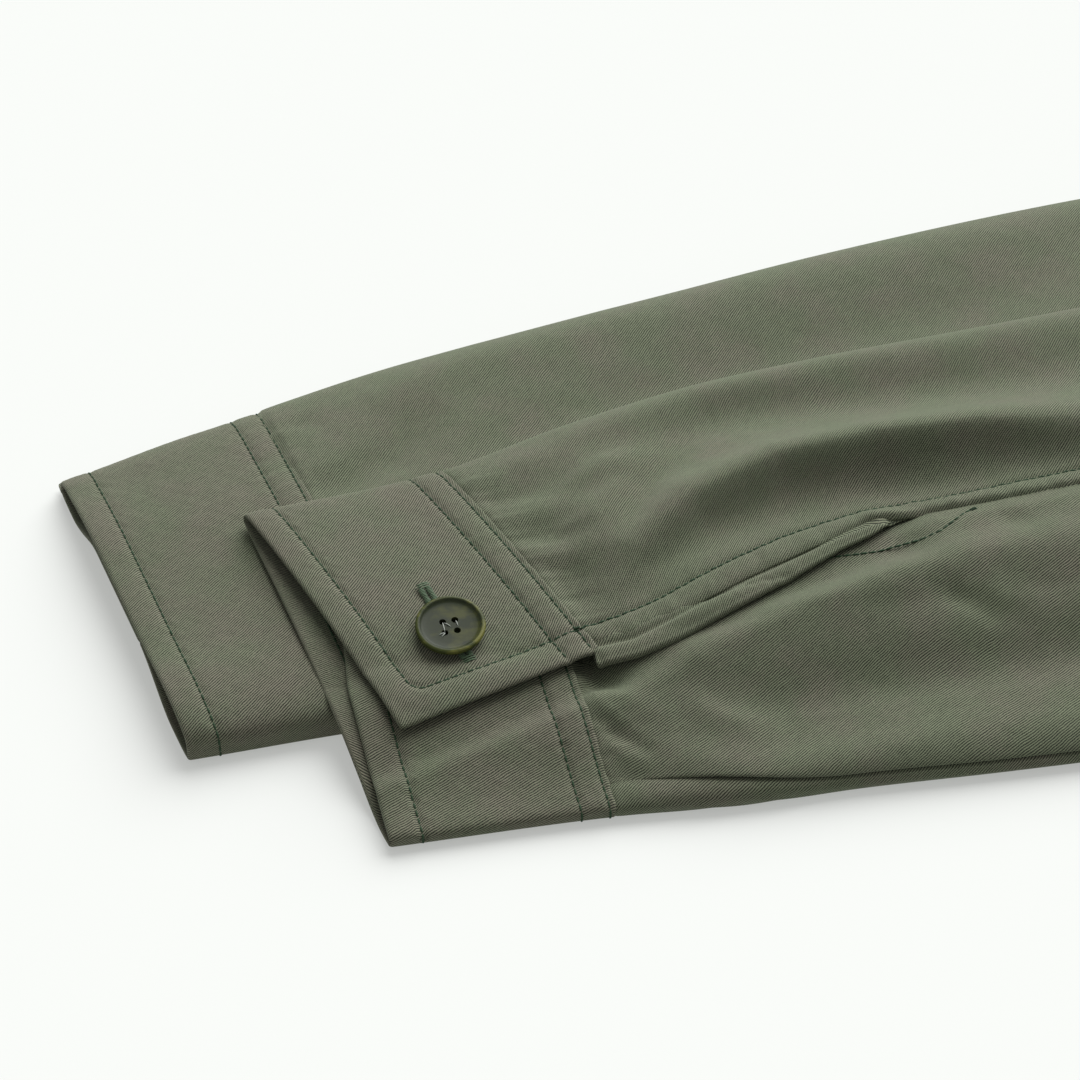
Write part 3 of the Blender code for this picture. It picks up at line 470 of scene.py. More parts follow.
# beyond the picture, across the seam of both pieces
LEFT_FAR_CREASES = (
    (1.0, (300, -52, 14, 0.0), (352, -28, 17, -2.0), (404, 4, 17, -2.4), (452, 26, 17, 0.0)),
    (1.0, (392, -56, 14, 0.0), (436, -24, 17, 1.8), (484, 16, 17, 1.6), (528, 44, 15, 0.0)),
    (1.0, (446, -66, 12, 0.0), (486, -34, 15, -2.0), (522, 0, 15, -1.8), (556, 26, 13, 0.0)),
)
LEFT_UNDER_CREASES = (
    # puckers that fan out from the cuff's seam
    (1.0, (68, -31, 4, 0.4), (77, -32, 4.5, 1.3), (86, -37, 5.5, 1.7), (100, -44, 7, 1.2),
     (116, -50, 8, 0.0)),
    (1.0, (68, -47, 4, 0.4), (83, -53, 5, 1.2), (100, -60, 6, 1.0), (118, -65, 6, 0.0)),
    (1.0, (69, -26, 3.5, -0.6), (78, -27, 4, -1.3), (88, -38, 5, -1.4), (98, -47, 6, -0.9),
     (108, -53, 7, 0.0)),
    (1.0, (68, -39, 3.5, -0.6), (76, -42, 4, -1.1), (84, -48, 5, -1.0), (94, -56, 6, 0.0)),
    (1.0, (68, -54, 3.5, -0.5), (78, -59, 4, -0.6), (88, -64, 5, 0.0)),
    # crisp ones close to it
    (1.0, (70, -31, 2.2, 0.3), (75, -38, 2.4, 1.0), (81, -46, 2.8, 1.0), (91, -54, 3.5, 0.0)),
    (1.0, (70, -36, 2.0, -0.3), (75.5, -43, 2.2, -1.0), (82, -51, 2.6, -0.8), (90, -58, 3.0, 0.0)),
    (1.0, (69, -46, 1.8, -0.3), (71.5, -50, 2.0, -0.7), (75, -56, 2.2, 0.0)),
    (1.0, (69, -50, 1.8, 0.3), (71, -54, 2.0, 0.6), (74, -59, 2.2, 0.0)),
    (1.0, (94, -38, 4, 0.0), (101, -43, 4, 0.8), (109, -48.5, 4.5, 0.8), (119, -55, 5, 0.0)),
    # the broad hollow between the slit and the lower fold
    (1.0, (84, -30, 7, 0.0), (100, -40, 9, -2.8), (126, -45, 12, -4.8), (157, -46, 12, -5.8),
     (185, -47, 12, -6.0), (220, -49, 13, -5.8), (270, -54, 14, -3.4), (330, -56, 14, 0.0)),
    # its light upper and lower shoulders
    (1.0, (90, -20, 5, 0.0), (104, -23, 6, 1.6), (128, -20, 7, 2.8), (150, -20, 7, 3.4),
     (169, -17, 8, 3.6), (188, -15, 8, 3.6), (214, -16, 9, 3.2), (250, -18, 12, 2.4),
     (300, -20, 14, 1.2), (360, -20, 16, 0.0)),
    (1.0, (90, -62, 5, 0.0), (108, -66, 6, 1.2), (130, -68, 7, 2.2), (160, -70, 8, 2.6),
     (200, -74, 9, 2.6), (260, -80, 10, 2.4), (340, -83, 12, 1.4), (420, -81, 12, 0.0)),
    # small creases to the right
    (1.0, (172, -20, 3, 0.0), (180, -25, 3.5, -1.2), (190, -33, 4, -1.2), (204, -38, 5, 0.0)),
    (1.0, (186, -24, 3.5, 0.0), (194, -28, 4, 0.9), (206, -32, 5, 0.0)),
    (1.0, (200, 2, 3, 0.0), (206, -4, 3.5, -0.9), (214, -9, 4, 0.0)),
)
# Round hollows below the slit's corner: depth, along, across, radius.
SLIT_HOLLOWS = ((3.0, 74.5, -18.0, 4.2), (2.2, 77.0, -24.0, 8.5))
RIGHT_CREASES = (
    (1.0, (56, 20, 6, 0.0), (70, 26, 8, -1.8), (88, 34, 9, -2.6), (98, 44, 9, -1.8), (108, 54, 9, 0.0)),
    (1.0, (80, 58, 7, 0.0), (104, 66, 10, 1.6), (128, 72, 12, 2.4), (170, 80, 13, 3.0),
     (240, 88, 14, 3.0), (330, 92, 15, 2.4), (420, 92, 16, 0.0)),
    (1.0, (92, 24, 9, 0.0), (129, 34, 13, -2.0), (163, 42, 14, -3.2), (209, 48, 15, -3.8),
     (270, 54, 15, -2.8), (330, 56, 15, 0.0)),
    (1.0, (60, 58, 4, 0.0), (66, 56, 4, -0.7), (76, 54, 5, 0.0)),
    (1.0, (58, 34, 4, 0.0), (66, 36, 4, 0.6), (78, 40, 5, 0.0)),
    (1.0, (260, 30, 14, 0.0), (330, 44, 16, 1.8), (400, 40, 18, 1.6), (460, 30, 18, 0.0)),
    (1.0, (400, 70, 12, 0.0), (450, 55, 14, -2.0), (500, 40, 16, -2.0), (550, 30, 14, 0.0)),
)


RIPPLES = ((1.0, 1.0, 1.0), (0.6, 1.73, 2.1), (0.4, 2.91, 3.7))   # height, pace, start
RIPPLE_SCALE = 1.6


def ripple(t, seed):
    """An uneven, repeatable wave between about -1 and 1."""
    return sum(height * np.sin(t * pace + start * seed) for height, pace, start in RIPPLES) / RIPPLE_SCALE


PULL_UNEVEN = 0.35
PULL_PACE = 0.9
GATHER_HEIGHT = 0.10
GATHER_PACE = 1.15
GATHER_WIDTH = 4.0


def sewn(off, along, seed, depth=0.5, width=0.9):
    """A row of stitches pulls the cloth in; off is the distance from the row."""
    pull = -depth * (1.0 + PULL_UNEVEN * ripple(along * PULL_PACE, seed)) * bell(off, width)
    gather = GATHER_HEIGHT * ripple(along * GATHER_PACE, seed + 1.0) * bell(off, GATHER_WIDTH)
    return pull + gather


HEM_SWELL = 0.30           # crown of the turned hem, and of the band between the twin rows
BAND_SWELL = 0.28


def cuff_relief(sleeve, q, w, upper, part, half):
    """Stitched edges of a cuff: hem, seam and, on the left one, the free edge."""
    depth = -sleeve.share[0] * sleeve.length
    from_hem = (q - sleeve.share[0]) * sleeve.length
    from_seam = depth + CUFF_END[sleeve.side] - from_hem
    around = w * half
    from_edge = FAR
    if sleeve is LEFT and part == "over":
        from_edge = np.where(upper, (w - overlap_edge_w(q)) * half, FAR)
    if sleeve is LEFT and part == "under":
        from_edge = (UNDERLAP_END - w) * half
    c = SEWN_IN + SEWN_CORNER
    inside = c - np.hypot(np.maximum(c - from_hem, 0.0), np.maximum(c - from_edge, 0.0))
    relief = sewn(inside - SEWN_IN, around + from_hem, 1.0)
    relief += HEM_SWELL * arch(inside / SEWN_IN)
    for row, seed in ((EDGE_STITCH, 2.0), (EDGE_STITCH + TWIN, 3.0)):
        relief += sewn(from_seam - row, around, seed)
    return relief + BAND_SWELL * arch((from_seam - EDGE_STITCH) / TWIN)


CREASES_RISE = (-2.0, 8.0)        # a span from the cuff's edge
TUCK_FADE = (-1.0, 2.5)           # and the one where the sleeve draws in
TUCK_HIGH = 1.3
TUCK_LOW = 1.0
EASING = (0.20, 9.0)              # gathers beside the cuff: height and width
EASING_PACE = (0.62, 0.05)
CALM = (300.0, 90.0)              # the seam lies flatter over this span and beyond it
CALMED = 0.6


def sleeve_relief(sleeve, high, low, q, s, v, part, fade):
    """Creases and gathers, and the end that is tucked into the cuff."""
    from_cuff = q * sleeve.length - CUFF_END[sleeve.side]
    own = RIGHT_CREASES
    if sleeve is LEFT:
        own = LEFT_UNDER_CREASES if part == "under" else LEFT_TOP_CREASES
    high = high + crease_field(s, v, own) * fade * rising(from_cuff, *CREASES_RISE)
    if sleeve is LEFT:
        high = high + crease_field(s, v, LEFT_FAR_CREASES) * fade
    inside = 1.0 - rising(from_cuff, *TUCK_FADE)
    height, width = EASING
    across, along = EASING_PACE
    gathers = height * ripple(v * across + s * along, 4.0) * bell(q * sleeve.length, width)
    return high - TUCK_HIGH * inside + gathers * fade, low + TUCK_LOW * inside


CUFF_LIFT = 0.3
OVERLAP_LIFT = (0.9, 0.0, 12.0)   # beside the free edge: height, place and width
MOUTH = (0.0, 42.0)               # the right cuff's mouth: a span from its hem
MOUTH_MIDDLE = ((-44.0, 26.0), (-46.0, 26.0))     # spans across, from both sides
MOUTH_SINK = 1.6                  # the upper layer sinks and the lower one arches
MOUTH_ARCH = 8.6
FAR_SIDE = (20.0, 30.0)           # a span across, over which the cuff gets thinner
FAR_SIDE_SINK = (1.2, 2.4)        # all along, and what the mouth adds


def cuff_form(sleeve, high, low, q, w, v, upper, part, half):
    """A cuff's sewing, the left one's lifted edge and the right one's open mouth."""
    high = high + cuff_relief(sleeve, q, w, upper, part, half) + CUFF_LIFT
    if sleeve is LEFT and part == "over":
        high = high + swell(np.maximum((w - overlap_edge_w(q)) * half, 0.0), *OVERLAP_LIFT)
    if sleeve is RIGHT:
        mouth = 1.0 - rising((q - RIGHT.share[0]) * RIGHT.length, *MOUTH)
        near, far = MOUTH_MIDDLE
        pinch = rising(v, *near) * rising(-v, *far)
        sink, more = FAR_SIDE_SINK
        high = high - MOUTH_SINK * pinch * mouth - (sink + more * mouth) * rising(v, *FAR_SIDE)
        low = low + MOUTH_ARCH * pinch * mouth
    return high, low


UNDER_HIDDEN = (-0.6, 1.8)        # a span across, from the seam
UNDER_DROP = 1.5                  # where the top sleeve covers it
UNDER_SWELL = (0.25, -5.0, 4.0)   # height, place from the seam and width
UNDER_SWELL_FROM = 150.0
UNDER_GROOVE = (1.3, -1.0, 2.4)   # depth, place from the seam and width
GROOVE_FROM = (165.0, 15.0)


def under_relief(high, q, w, s, v, half, calm):
    """The left under sleeve beside the back-arm seam and below the slit's corner."""
    off = (w - line_w(LEFT, q, "seam_v")) * half
    high = high - UNDER_DROP * rising(off, *UNDER_HIDDEN)
    high = high + swell(off, *UNDER_SWELL) * (s > UNDER_SWELL_FROM)
    for depth, at_s, at_v, radius in SLIT_HOLLOWS:
        high = high - depth * bell(np.hypot(s - at_s, v - at_v), radius)
    return high - swell(off, *UNDER_GROOVE) * rising(s, *GROOVE_FROM) * calm


BEYOND_SLIT = (150.0, 20.0)       # a span along, over which the open slit becomes a seam
PUCKERS = (0.3, 0.28, 0.5)        # height, its unevenness, and what the closed seam adds
PUCKER_PACE = 0.55
SEAM_PULL = (0.5, 0.9)            # depth, and what the closed seam adds
SEAM_WIDTH = 1.2
UNDERARM_LAP = (-1.2, 2.4)


def top_relief(high, q, w, upper, s, half, calm):
    """The left top sleeve's topstitched seam, and its edge below the underarm seam."""
    near = upper & (w > UNDERARM_SIDE)
    seam_w, stitch_w = line_w(LEFT, q, "seam_v"), line_w(LEFT, q, "stitch_v")
    beyond = rising(s, *BEYOND_SLIT)
    high = high + np.where(near, sewn((w - stitch_w) * half, s, 5.0), 0.0)
    height, uneven, more = PUCKERS
    puckers = height + uneven * ripple(s * PUCKER_PACE, 9.0) + more * beyond
    high = high + np.where(near, puckers * arch((w - seam_w) / (stitch_w - seam_w)), 0.0)
    depth, more = SEAM_PULL
    pulled = (depth + more * beyond) * calm * bell((w - seam_w) * half, SEAM_WIDTH)
    high = high - np.where(near, pulled, 0.0)
    lap = rising((w - underarm_w(q)) * half, *UNDERARM_LAP)
    return high - np.where(upper & (w < UNDERARM_SIDE), UNDERARM_STEP * lap, 0.0)


def sleeve_surface(sleeve, q, angle, part, kind):
    """Points (..., 3) of an outer surface, and their distances along the sleeve. The part
    is over or under the slit, the kind is sleeve or cuff."""
    q, angle = np.broadcast_arrays(np.asarray(q, float), np.asarray(angle, float))
    w, upper = place_at(angle)
    s, v = sleeve.spot(q, w)
    is_left = sleeve is LEFT
    if is_left:
        s = s + np.where(upper, turned(q, w, part), 0.0)
    x, y = sleeve.plan(s, v)
    share = dome(w, CUFF_SQUARE + (SLEEVE_SQUARE - CUFF_SQUARE) * smooth(q / SQUARE_FADE))
    half = sleeve.half_width(q)
    loft = sleeve.section(q)[-1]
    base = left_support(x, y) if is_left else np.zeros_like(x)
    low = base + FOLD_EDGE * (1.0 - np.minimum(share * LOWER_FLAT, 1.0))
    high = base + FOLD_EDGE + (loft - FOLD_EDGE) * share
    if kind == "sleeve":
        high, low = sleeve_relief(sleeve, high, low, q, s, v, part, np.minimum(share * RELIEF_FADE, 1.0))
    else:
        high, low = cuff_form(sleeve, high, low, q, w, v, upper, part, half)
    calm = 1.0 - CALMED * rising(s, *CALM)
    if is_left and part == "under":
        high = high - tucked(q, w, s)
        if kind == "sleeve":
            high = under_relief(high, q, w, s, v, half, calm)
    elif is_left and kind == "sleeve":
        high = top_relief(high, q, w, upper, s, half, calm)
    body = left_half_top(x, y) if is_left else right_half_top(x, y)
    z = np.where(upper, high + (body - high) * rising(q, *MEETS_BODY), low)
    return np.stack([x, y, z], axis=-1), s


# ---- meshes -------------------------------------------------------------------
def in_metres(points):
    points = np.asarray(points, float)
    return (points - np.array([ORIGIN[0], ORIGIN[1], 0.0])) * MM


def unit(vectors):
    return vectors / np.maximum(np.linalg.norm(vectors, axis=-1, keepdims=True), TINY)


def grid_normals(points, up_at, faces=1.0):
    """Outward normals of a grid, which face up (1) or down (-1) at the grid place up_at."""
    normals = unit(np.cross(np.gradient(points, axis=0), np.gradient(points, axis=1)))
    return normals if normals[up_at][2] * faces > 0.0 else -normals


def mesh_from(name, points, faces, uvs, material):
    """An object from points in millimetres, quads or triangles, and weave places."""
    mesh = bpy.data.meshes.new(name)
    co = in_metres(points).astype(np.float32)
    faces = [np.asarray(part, np.int32) for part in faces]
    loops = np.concatenate([part.ravel() for part in faces])
    totals = np.concatenate([np.full(len(part), part.shape[1], np.int32) for part in faces])
    starts = np.concatenate([[0], np.cumsum(totals)[:-1]]).astype(np.int32)
    mesh.vertices.add(len(co))
    mesh.vertices.foreach_set("co", co.ravel())
    mesh.loops.add(len(loops))
    mesh.loops.foreach_set("vertex_index", loops)
    mesh.polygons.add(len(totals))
    mesh.polygons.foreach_set("loop_start", starts)
    mesh.polygons.foreach_set("use_smooth", np.ones(len(totals), bool))
    mesh.update(calc_edges=True)
    layer = mesh.uv_layers.new(name="weave")
    layer.data.foreach_set("uv", np.asarray(uvs, np.float32)[loops].ravel())
    mesh.materials.append(material)
    return link(name, mesh)


def weave_places(along, across, angle):
    """Across and along the wales, in millimetres."""
    turn = np.radians(angle)
    return np.stack([-along * np.sin(turn) + across * np.cos(turn),
                     along * np.cos(turn) + across * np.sin(turn)], axis=-1)


def border(index, inset=0):
    """A grid's places all round its edge, or on the lines so far inside it."""
    last = -1 - inset
    return np.concatenate([index[inset, :-1], index[:-1, last], index[last, :0:-1], index[:0:-1, inset]])


def grid_quads(index):
    corners = index[:-1, :-1], index[:-1, 1:], index[1:, 1:], index[1:, :-1]
    return np.stack(corners, axis=-1).reshape(-1, 4)


def joined(near, far):
    """Quads between two closed rings, or two stacks of rings."""
    corners = near, np.roll(near, -1, axis=-1), np.roll(far, -1, axis=-1), far
    return np.stack(corners, axis=-1).reshape(-1, 4)


def ring_levels(loop, count, rings):
    """Vertex numbers from the outer loop over the rim's rings to the inner loop."""
    size = len(loop)
    return [loop] + [2 * count + k * size + np.arange(size) for k in range(rings)] + [loop + count]


RIM_TURNS = (45.0, 90.0, 135.0)
SHORTEST_STEP = 0.05


def shell(name, points, wall, places, material, up_at, faces=1.0):
    """A thin closed wall whose outer side is given, with rounded rims."""
    n, m = points.shape[:2]
    count = n * m
    normals = grid_normals(points, up_at, faces)
    index = np.arange(count).reshape(n, m)
    loop = border(index)
    flat, flat_normals = points.reshape(-1, 3), normals.reshape(-1, 3)
    rim, rim_normals = flat[loop], flat_normals[loop]
    tangent = np.roll(rim, -1, axis=0) - np.roll(rim, 1, axis=0)
    outward = unit(np.cross(tangent, rim_normals))
    if outward[m // 2] @ (points[n // 2, m // 2] - points[0, m // 2]) > 0.0:
        outward = -outward
    middle = rim - rim_normals * wall / 2
    rings = [middle + wall / 2 * (rim_normals * math.cos(a) + outward * math.sin(a))
             for a in np.radians(RIM_TURNS)]
    all_points = np.concatenate([flat, (points - normals * wall).reshape(-1, 3)] + rings)

    def facing(quads):
        return np.cross(all_points[quads[:, 1]] - all_points[quads[:, 0]],
                        all_points[quads[:, 3]] - all_points[quads[:, 0]])

    quad = grid_quads(index)[:, [0, 3, 2, 1]]
    if (facing(quad) * flat_normals[quad[:, 0]]).sum() < 0.0:
        quad = quad[:, ::-1]
    levels = ring_levels(loop, count, len(rings))
    sides = np.concatenate([joined(far, near) for near, far in zip(levels, levels[1:])])
    sides = np.roll(sides, 1, axis=1)
    if facing(sides[m // 2:m // 2 + 1])[0] @ (outward[m // 2] + rim_normals[m // 2]) < 0.0:
        sides = sides[:, ::-1]
    # the weave runs on over the rim, as it runs up to it
    within = border(index, 1)
    uv = places.reshape(-1, 2)
    reach = np.linalg.norm(rim - flat[within], axis=1, keepdims=True)
    onward = (uv[loop] - uv[within]) / np.maximum(reach, SHORTEST_STEP)
    turns = [uv[loop] + onward * (wall / 2 * math.radians(a)) for a in RIM_TURNS]
    uvs = np.concatenate([uv, uv] + turns)
    return mesh_from(name, all_points, [quad, quad[:, ::-1] + count, sides], uvs, material)


def face_outwards(piece):
    bm = bmesh.new()
    bm.from_mesh(piece.data)
    bmesh.ops.recalc_face_normals(bm, faces=bm.faces)
    bm.to_mesh(piece.data)
    bm.free()


# ---- materials ------------------------------------------------------------------
def new_material(name, finish):
    material = bpy.data.materials.new(name)
    material.use_nodes = True
    tree = material.node_tree
    shader = tree.nodes["Principled BSDF"]
    for socket, value in finish.items():
        shader.inputs[socket].default_value = value
    return material, tree, shader


def feed(tree, socket, value):
    """Links a value's socket, or sets a constant."""
    if isinstance(value, bpy.types.NodeSocket):
        tree.links.new(value, socket)
    else:
        socket.default_value = value


def math_node(tree, operation, *values):
    node = tree.nodes.new("ShaderNodeMath")
    node.operation = operation
    for socket, value in zip(node.inputs, values):
        feed(tree, socket, value)
    return node.outputs[0]


def mix_colour(tree, factor, first, second):
    node = tree.nodes.new("ShaderNodeMix")
    node.data_type = "RGBA"
    for socket, value in (("Factor", factor), ("A", first), ("B", second)):
        feed(tree, node.inputs[socket], value)
    return node.outputs["Result"]


def noise(tree, vector, scale, detail, stretch=None):
    node = tree.nodes.new("ShaderNodeTexNoise")
    node.inputs["Scale"].default_value = scale
    node.inputs["Detail"].default_value = detail
    if stretch:
        mapping = tree.nodes.new("ShaderNodeMapping")
        mapping.inputs["Scale"].default_value = stretch
        tree.links.new(vector, mapping.inputs["Vector"])
        vector = mapping.outputs[0]
    tree.links.new(vector, node.inputs["Vector"])
    return node.outputs["Fac"]


def weave_vector(tree):
    node = tree.nodes.new("ShaderNodeUVMap")
    node.uv_map = "weave"
    return node.outputs[0]


def split_vector(tree, vector):
    node = tree.nodes.new("ShaderNodeSeparateXYZ")
    tree.links.new(vector, node.inputs[0])
    return node.outputs


YARN = 0.62                # one yarn along a wale
YARN_LEAN = 0.5
NOISES = {                 # scale in a millimetre, detail and stretch
    "wander": (0.25, 3.0),
    "speck": (2.1, 1.0),
    "streak": (1.0, 2.0, (1.1, 0.22, 1.0)),
    "rumple": (0.085, 3.0),
    "patch": (0.05, 4.0),
    "fleck": (1.6, 2.0),
}
WANDER = 0.7               # how far wales wander, in millimetres
RELIEF = {"wale": 0.75, "yarn": 0.15, "streak": 0.4, "speck": 0.5, "rumple": 4.0}
LEVEL = {"wale": 1.20, "streak": 0.45, "speck": 0.9}      # from the dark gaps up to the ground
LEVEL_SHIFT = -0.67
HUE = {"patch": 2.6, "fleck": 1.6}                        # from brown to green
HUE_SHIFT = -2.1
GREEN = (0.158, 0.181, 0.113, 1.0)
BROWN = (0.186, 0.175, 0.130, 1.0)
DARK = (0.006, 0.008, 0.005, 1.0)
BUMP_STRENGTH = 0.7
BUMP_DISTANCE = 0.00022
TWILL_FINISH = {"Roughness": 0.88, "Specular IOR Level": 0.25, "Sheen Weight": 0.16,
                "Sheen Roughness": 0.45, "Sheen Tint": (0.80, 0.95, 0.70, 1.0)}


def twill_material(name, greenness):
    """Wales with a yarn's speckle, and a ground that wanders between green and brown."""
    material, tree, shader = new_material(name, TWILL_FINISH)
    place = weave_vector(tree)
    split = split_vector(tree, place)
    looks = {kind: noise(tree, place, *values) for kind, values in NOISES.items()}

    def times(value, factor):
        return math_node(tree, "MULTIPLY", value, factor)

    def plus(first, second):
        return math_node(tree, "ADD", first, second)

    def wave(phase):
        return plus(times(math_node(tree, "SINE", phase), 0.5), 0.5)

    def weighed(weights, total):
        for kind, weight in weights.items():
            total = plus(times(looks[kind], weight), total)
        return total

    phase = times(plus(split["X"], times(looks["wander"], WANDER)), 2.0 * math.pi / WALE)
    looks["wale"] = wave(phase)
    looks["yarn"] = wave(plus(times(split["Y"], 2.0 * math.pi / YARN), times(phase, YARN_LEAN)))
    ground = mix_colour(tree, weighed(HUE, greenness + HUE_SHIFT), BROWN, GREEN)
    colour = mix_colour(tree, weighed(LEVEL, LEVEL_SHIFT), DARK, ground)
    tree.links.new(colour, shader.inputs["Base Color"])
    bump = tree.nodes.new("ShaderNodeBump")
    bump.inputs["Strength"].default_value = BUMP_STRENGTH
    bump.inputs["Distance"].default_value = BUMP_DISTANCE
    tree.links.new(weighed(RELIEF, 0.0), bump.inputs["Height"])
    tree.links.new(bump.outputs[0], shader.inputs["Normal"])
    return material


TWILL = twill_material("twill", 0.75)
TWILL_CUFF = twill_material("twill_of_cuffs", 0.45)


# ---- sleeves and cuffs ------------------------------------------------------------
TABLE_ANGLES = np.linspace(-360.0, 720.0, 43201)
NOMINAL_HALF = 70.0
NOMINAL_LOFT = 14.0


def lengths_round():
    """Length round a nominal tube, at each of TABLE_ANGLES; the folds count for more."""
    w, upper = place_at(TABLE_ANGLES)
    height = dome(w) * np.where(upper, NOMINAL_LOFT, -NOMINAL_LOFT)
    return running_length(np.stack([w * NOMINAL_HALF, height], axis=-1))


TABLE_LENGTHS = lengths_round()


def even_angles(first, last, count):
    """Angles from first to last, evenly spaced over the cloth: a row for each row given."""
    start = np.interp(first, TABLE_ANGLES, TABLE_LENGTHS)
    end = np.interp(last, TABLE_ANGLES, TABLE_LENGTHS)
    t = np.linspace(0.0, 1.0, count)[None, :]
    return np.interp(start + (end - start) * t, TABLE_LENGTHS, TABLE_ANGLES)


FINE_UNTIL = 245.0
FINE_STEP = 1.5
COARSE_STEP = 5.0


def sleeve_rows(sleeve):
    """Rows from inside the cuff to the armhole, finer near the cuff."""
    near = np.arange(CUFF_END[sleeve.side] - TUCKED, FINE_UNTIL, FINE_STEP)
    far = np.linspace(near[-1] + FINE_STEP, sleeve.length, int((sleeve.length - near[-1]) / COARSE_STEP))
    return np.concatenate([near, far]) / sleeve.length


def round_places(points, along, column, wale_angle, fold=0):
    """Weave places along a tube, and round it by true length from one of its columns.
    Up to the column of a fold they are eased, so that the first column is straight too."""
    around = running_length(points)
    across = around[:, column:column + 1] - around
    if fold:
        at_fold = across[:, fold:fold + 1]
        share = 1.0 - around[:, :fold] / around[:, fold:fold + 1]
        across[:, :fold] = at_fold + (across[:, 0].mean() - at_fold) * share
    return weave_places(along, across, wale_angle)


def tube_piece(name, sleeve, rows, angles, part, wale_angle, up_share, faces=1.0, fold=0):
    """A piece of a sleeve; angles has one row for each of its rows."""
    points, s = sleeve_surface(sleeve, rows[:, None], angles, part, "sleeve")
    up_at = (len(rows) // 2, int(up_share * (angles.shape[1] - 1)))
    places = round_places(points, s, up_at[1], wale_angle, fold)
    return shell(name, points, CLOTH, places, TWILL, up_at, faces)


def seam_angle(sleeve, q, offset, upper):
    w = line_w(sleeve, q, "seam_v") + offset / sleeve.half_width(q)
    return angle_of(w, upper)


NEAR_FOLD = 0.9995         # a place just short of the fold


def underarm_angle(sleeve, q, offset, upper):
    w = underarm_w(q) + offset / sleeve.half_width(q)
    return angle_of(np.clip(w, -NEAR_FOLD, 1.0), upper)


TOP_WALES = 46.0           # the wales' angle to a piece's length, in degrees
LEFT_UNDER_WALES = 28.0
RIGHT_UNDER_WALES = 40.0
TOP_TURNING = 4.0          # the top sleeve reaches so far under the under sleeve
UNDERARM_GAP = 0.4
LEFT_COLUMNS = (52, 144, 64)      # top sleeve's lower and upper side, and under sleeve
RIGHT_COLUMNS = (46, 120, 40)
LEFT_TOP_UP = 0.8                 # how far across a piece its outside surely faces up
RIGHT_TOP_UP = 0.62
UNDER_UP = 0.5


def make_left_sleeve():
    rows = sleeve_rows(LEFT)
    q = rows[:, None]
    low_count, up_count, under_count = LEFT_COLUMNS
    lower = even_angles(underarm_angle(LEFT, q, TOP_TURNING, True) - 360.0, 0.0, low_count)
    upper = even_angles(0.0, seam_angle(LEFT, q, SEAM_GAP, True), up_count)
    angles = np.concatenate([lower[:, :-1], upper], axis=1)
    top = tube_piece("left_top_sleeve", LEFT, rows, angles, "over", TOP_WALES, LEFT_TOP_UP,
                     fold=low_count - 1)
    angles = even_angles(seam_angle(LEFT, q, LAP, True),
                         underarm_angle(LEFT, q, -UNDERARM_GAP, True), under_count)
    under = tube_piece("left_under_sleeve", LEFT, rows, angles, "under", LEFT_UNDER_WALES, UNDER_UP)
    return top, under


def make_right_sleeve():
    rows = sleeve_rows(RIGHT)
    q = rows[:, None]
    low_count, up_count, under_count = RIGHT_COLUMNS
    lower = even_angles(seam_angle(RIGHT, q, SEAM_GAP, False), 360.0, low_count)
    upper = even_angles(360.0, underarm_angle(RIGHT, q, -SEAM_GAP, False) + 360.0, up_count)
    angles = np.concatenate([lower[:, :-1], upper], axis=1)
    top = tube_piece("right_top_sleeve", RIGHT, rows, angles, "over", TOP_WALES, RIGHT_TOP_UP)
    rows = rows[::2]
    q = rows[:, None]
    angles = even_angles(underarm_angle(RIGHT, q, SEAM_GAP, False),
                         seam_angle(RIGHT, q, -SEAM_GAP, False), under_count)
    under = tube_piece("right_under_sleeve", RIGHT, rows, angles, "over", RIGHT_UNDER_WALES, UNDER_UP,
                       -1.0)
    return top, under


UNDERLAP_COLUMNS = 92
OVERLAP_COLUMNS = 260
LEFT_CUFF_ROWS = 78
LEFT_CUFF_WALES = (25.0, 11.0)    # on the underlap, and what the overlap adds
WALES_TURN = (6.0, 40.0)          # columns beyond the lower fold
RIGHT_CUFF_ROWS = 70
RIGHT_CUFF_COLUMNS = 300
RIGHT_CUFF_WALES = 33.0
RIGHT_CUFF_UP = 190               # a column on its upper side
LEFT_CUFF_UP = 40                 # and one from the other edge of the left cuff's


def cuff_rows(sleeve, count):
    start = sleeve.share[0] * sleeve.length
    return np.linspace(start, CUFF_END[sleeve.side], count)[:, None] / sleeve.length


def make_left_cuff():
    """One strip: the underlap, the side on the table between the two folds, the overlap."""
    q = cuff_rows(LEFT, LEFT_CUFF_ROWS)
    under = even_angles(angle_of(UNDERLAP_END, True), 180.0, UNDERLAP_COLUMNS)
    over = even_angles(180.0, 360.0 + angle_of(overlap_edge_w(q), True), OVERLAP_COLUMNS)
    points = np.concatenate([sleeve_surface(LEFT, q, under, "under", "cuff")[0][:, :-1],
                             sleeve_surface(LEFT, q, over, "over", "cuff")[0]], axis=1)
    columns = points.shape[1]
    angle, more = LEFT_CUFF_WALES
    wale_angle = angle + more * rising(np.arange(columns) - UNDERLAP_COLUMNS, *WALES_TURN)
    along = (q - LEFT.share[0] / 2.0) * LEFT.length + np.zeros(columns)
    places = round_places(points, along, UNDERLAP_COLUMNS, wale_angle)
    up_at = (LEFT_CUFF_ROWS // 2, columns - LEFT_CUFF_UP)
    return shell("left_cuff", points, CUFF_CLOTH, places, TWILL_CUFF, up_at)


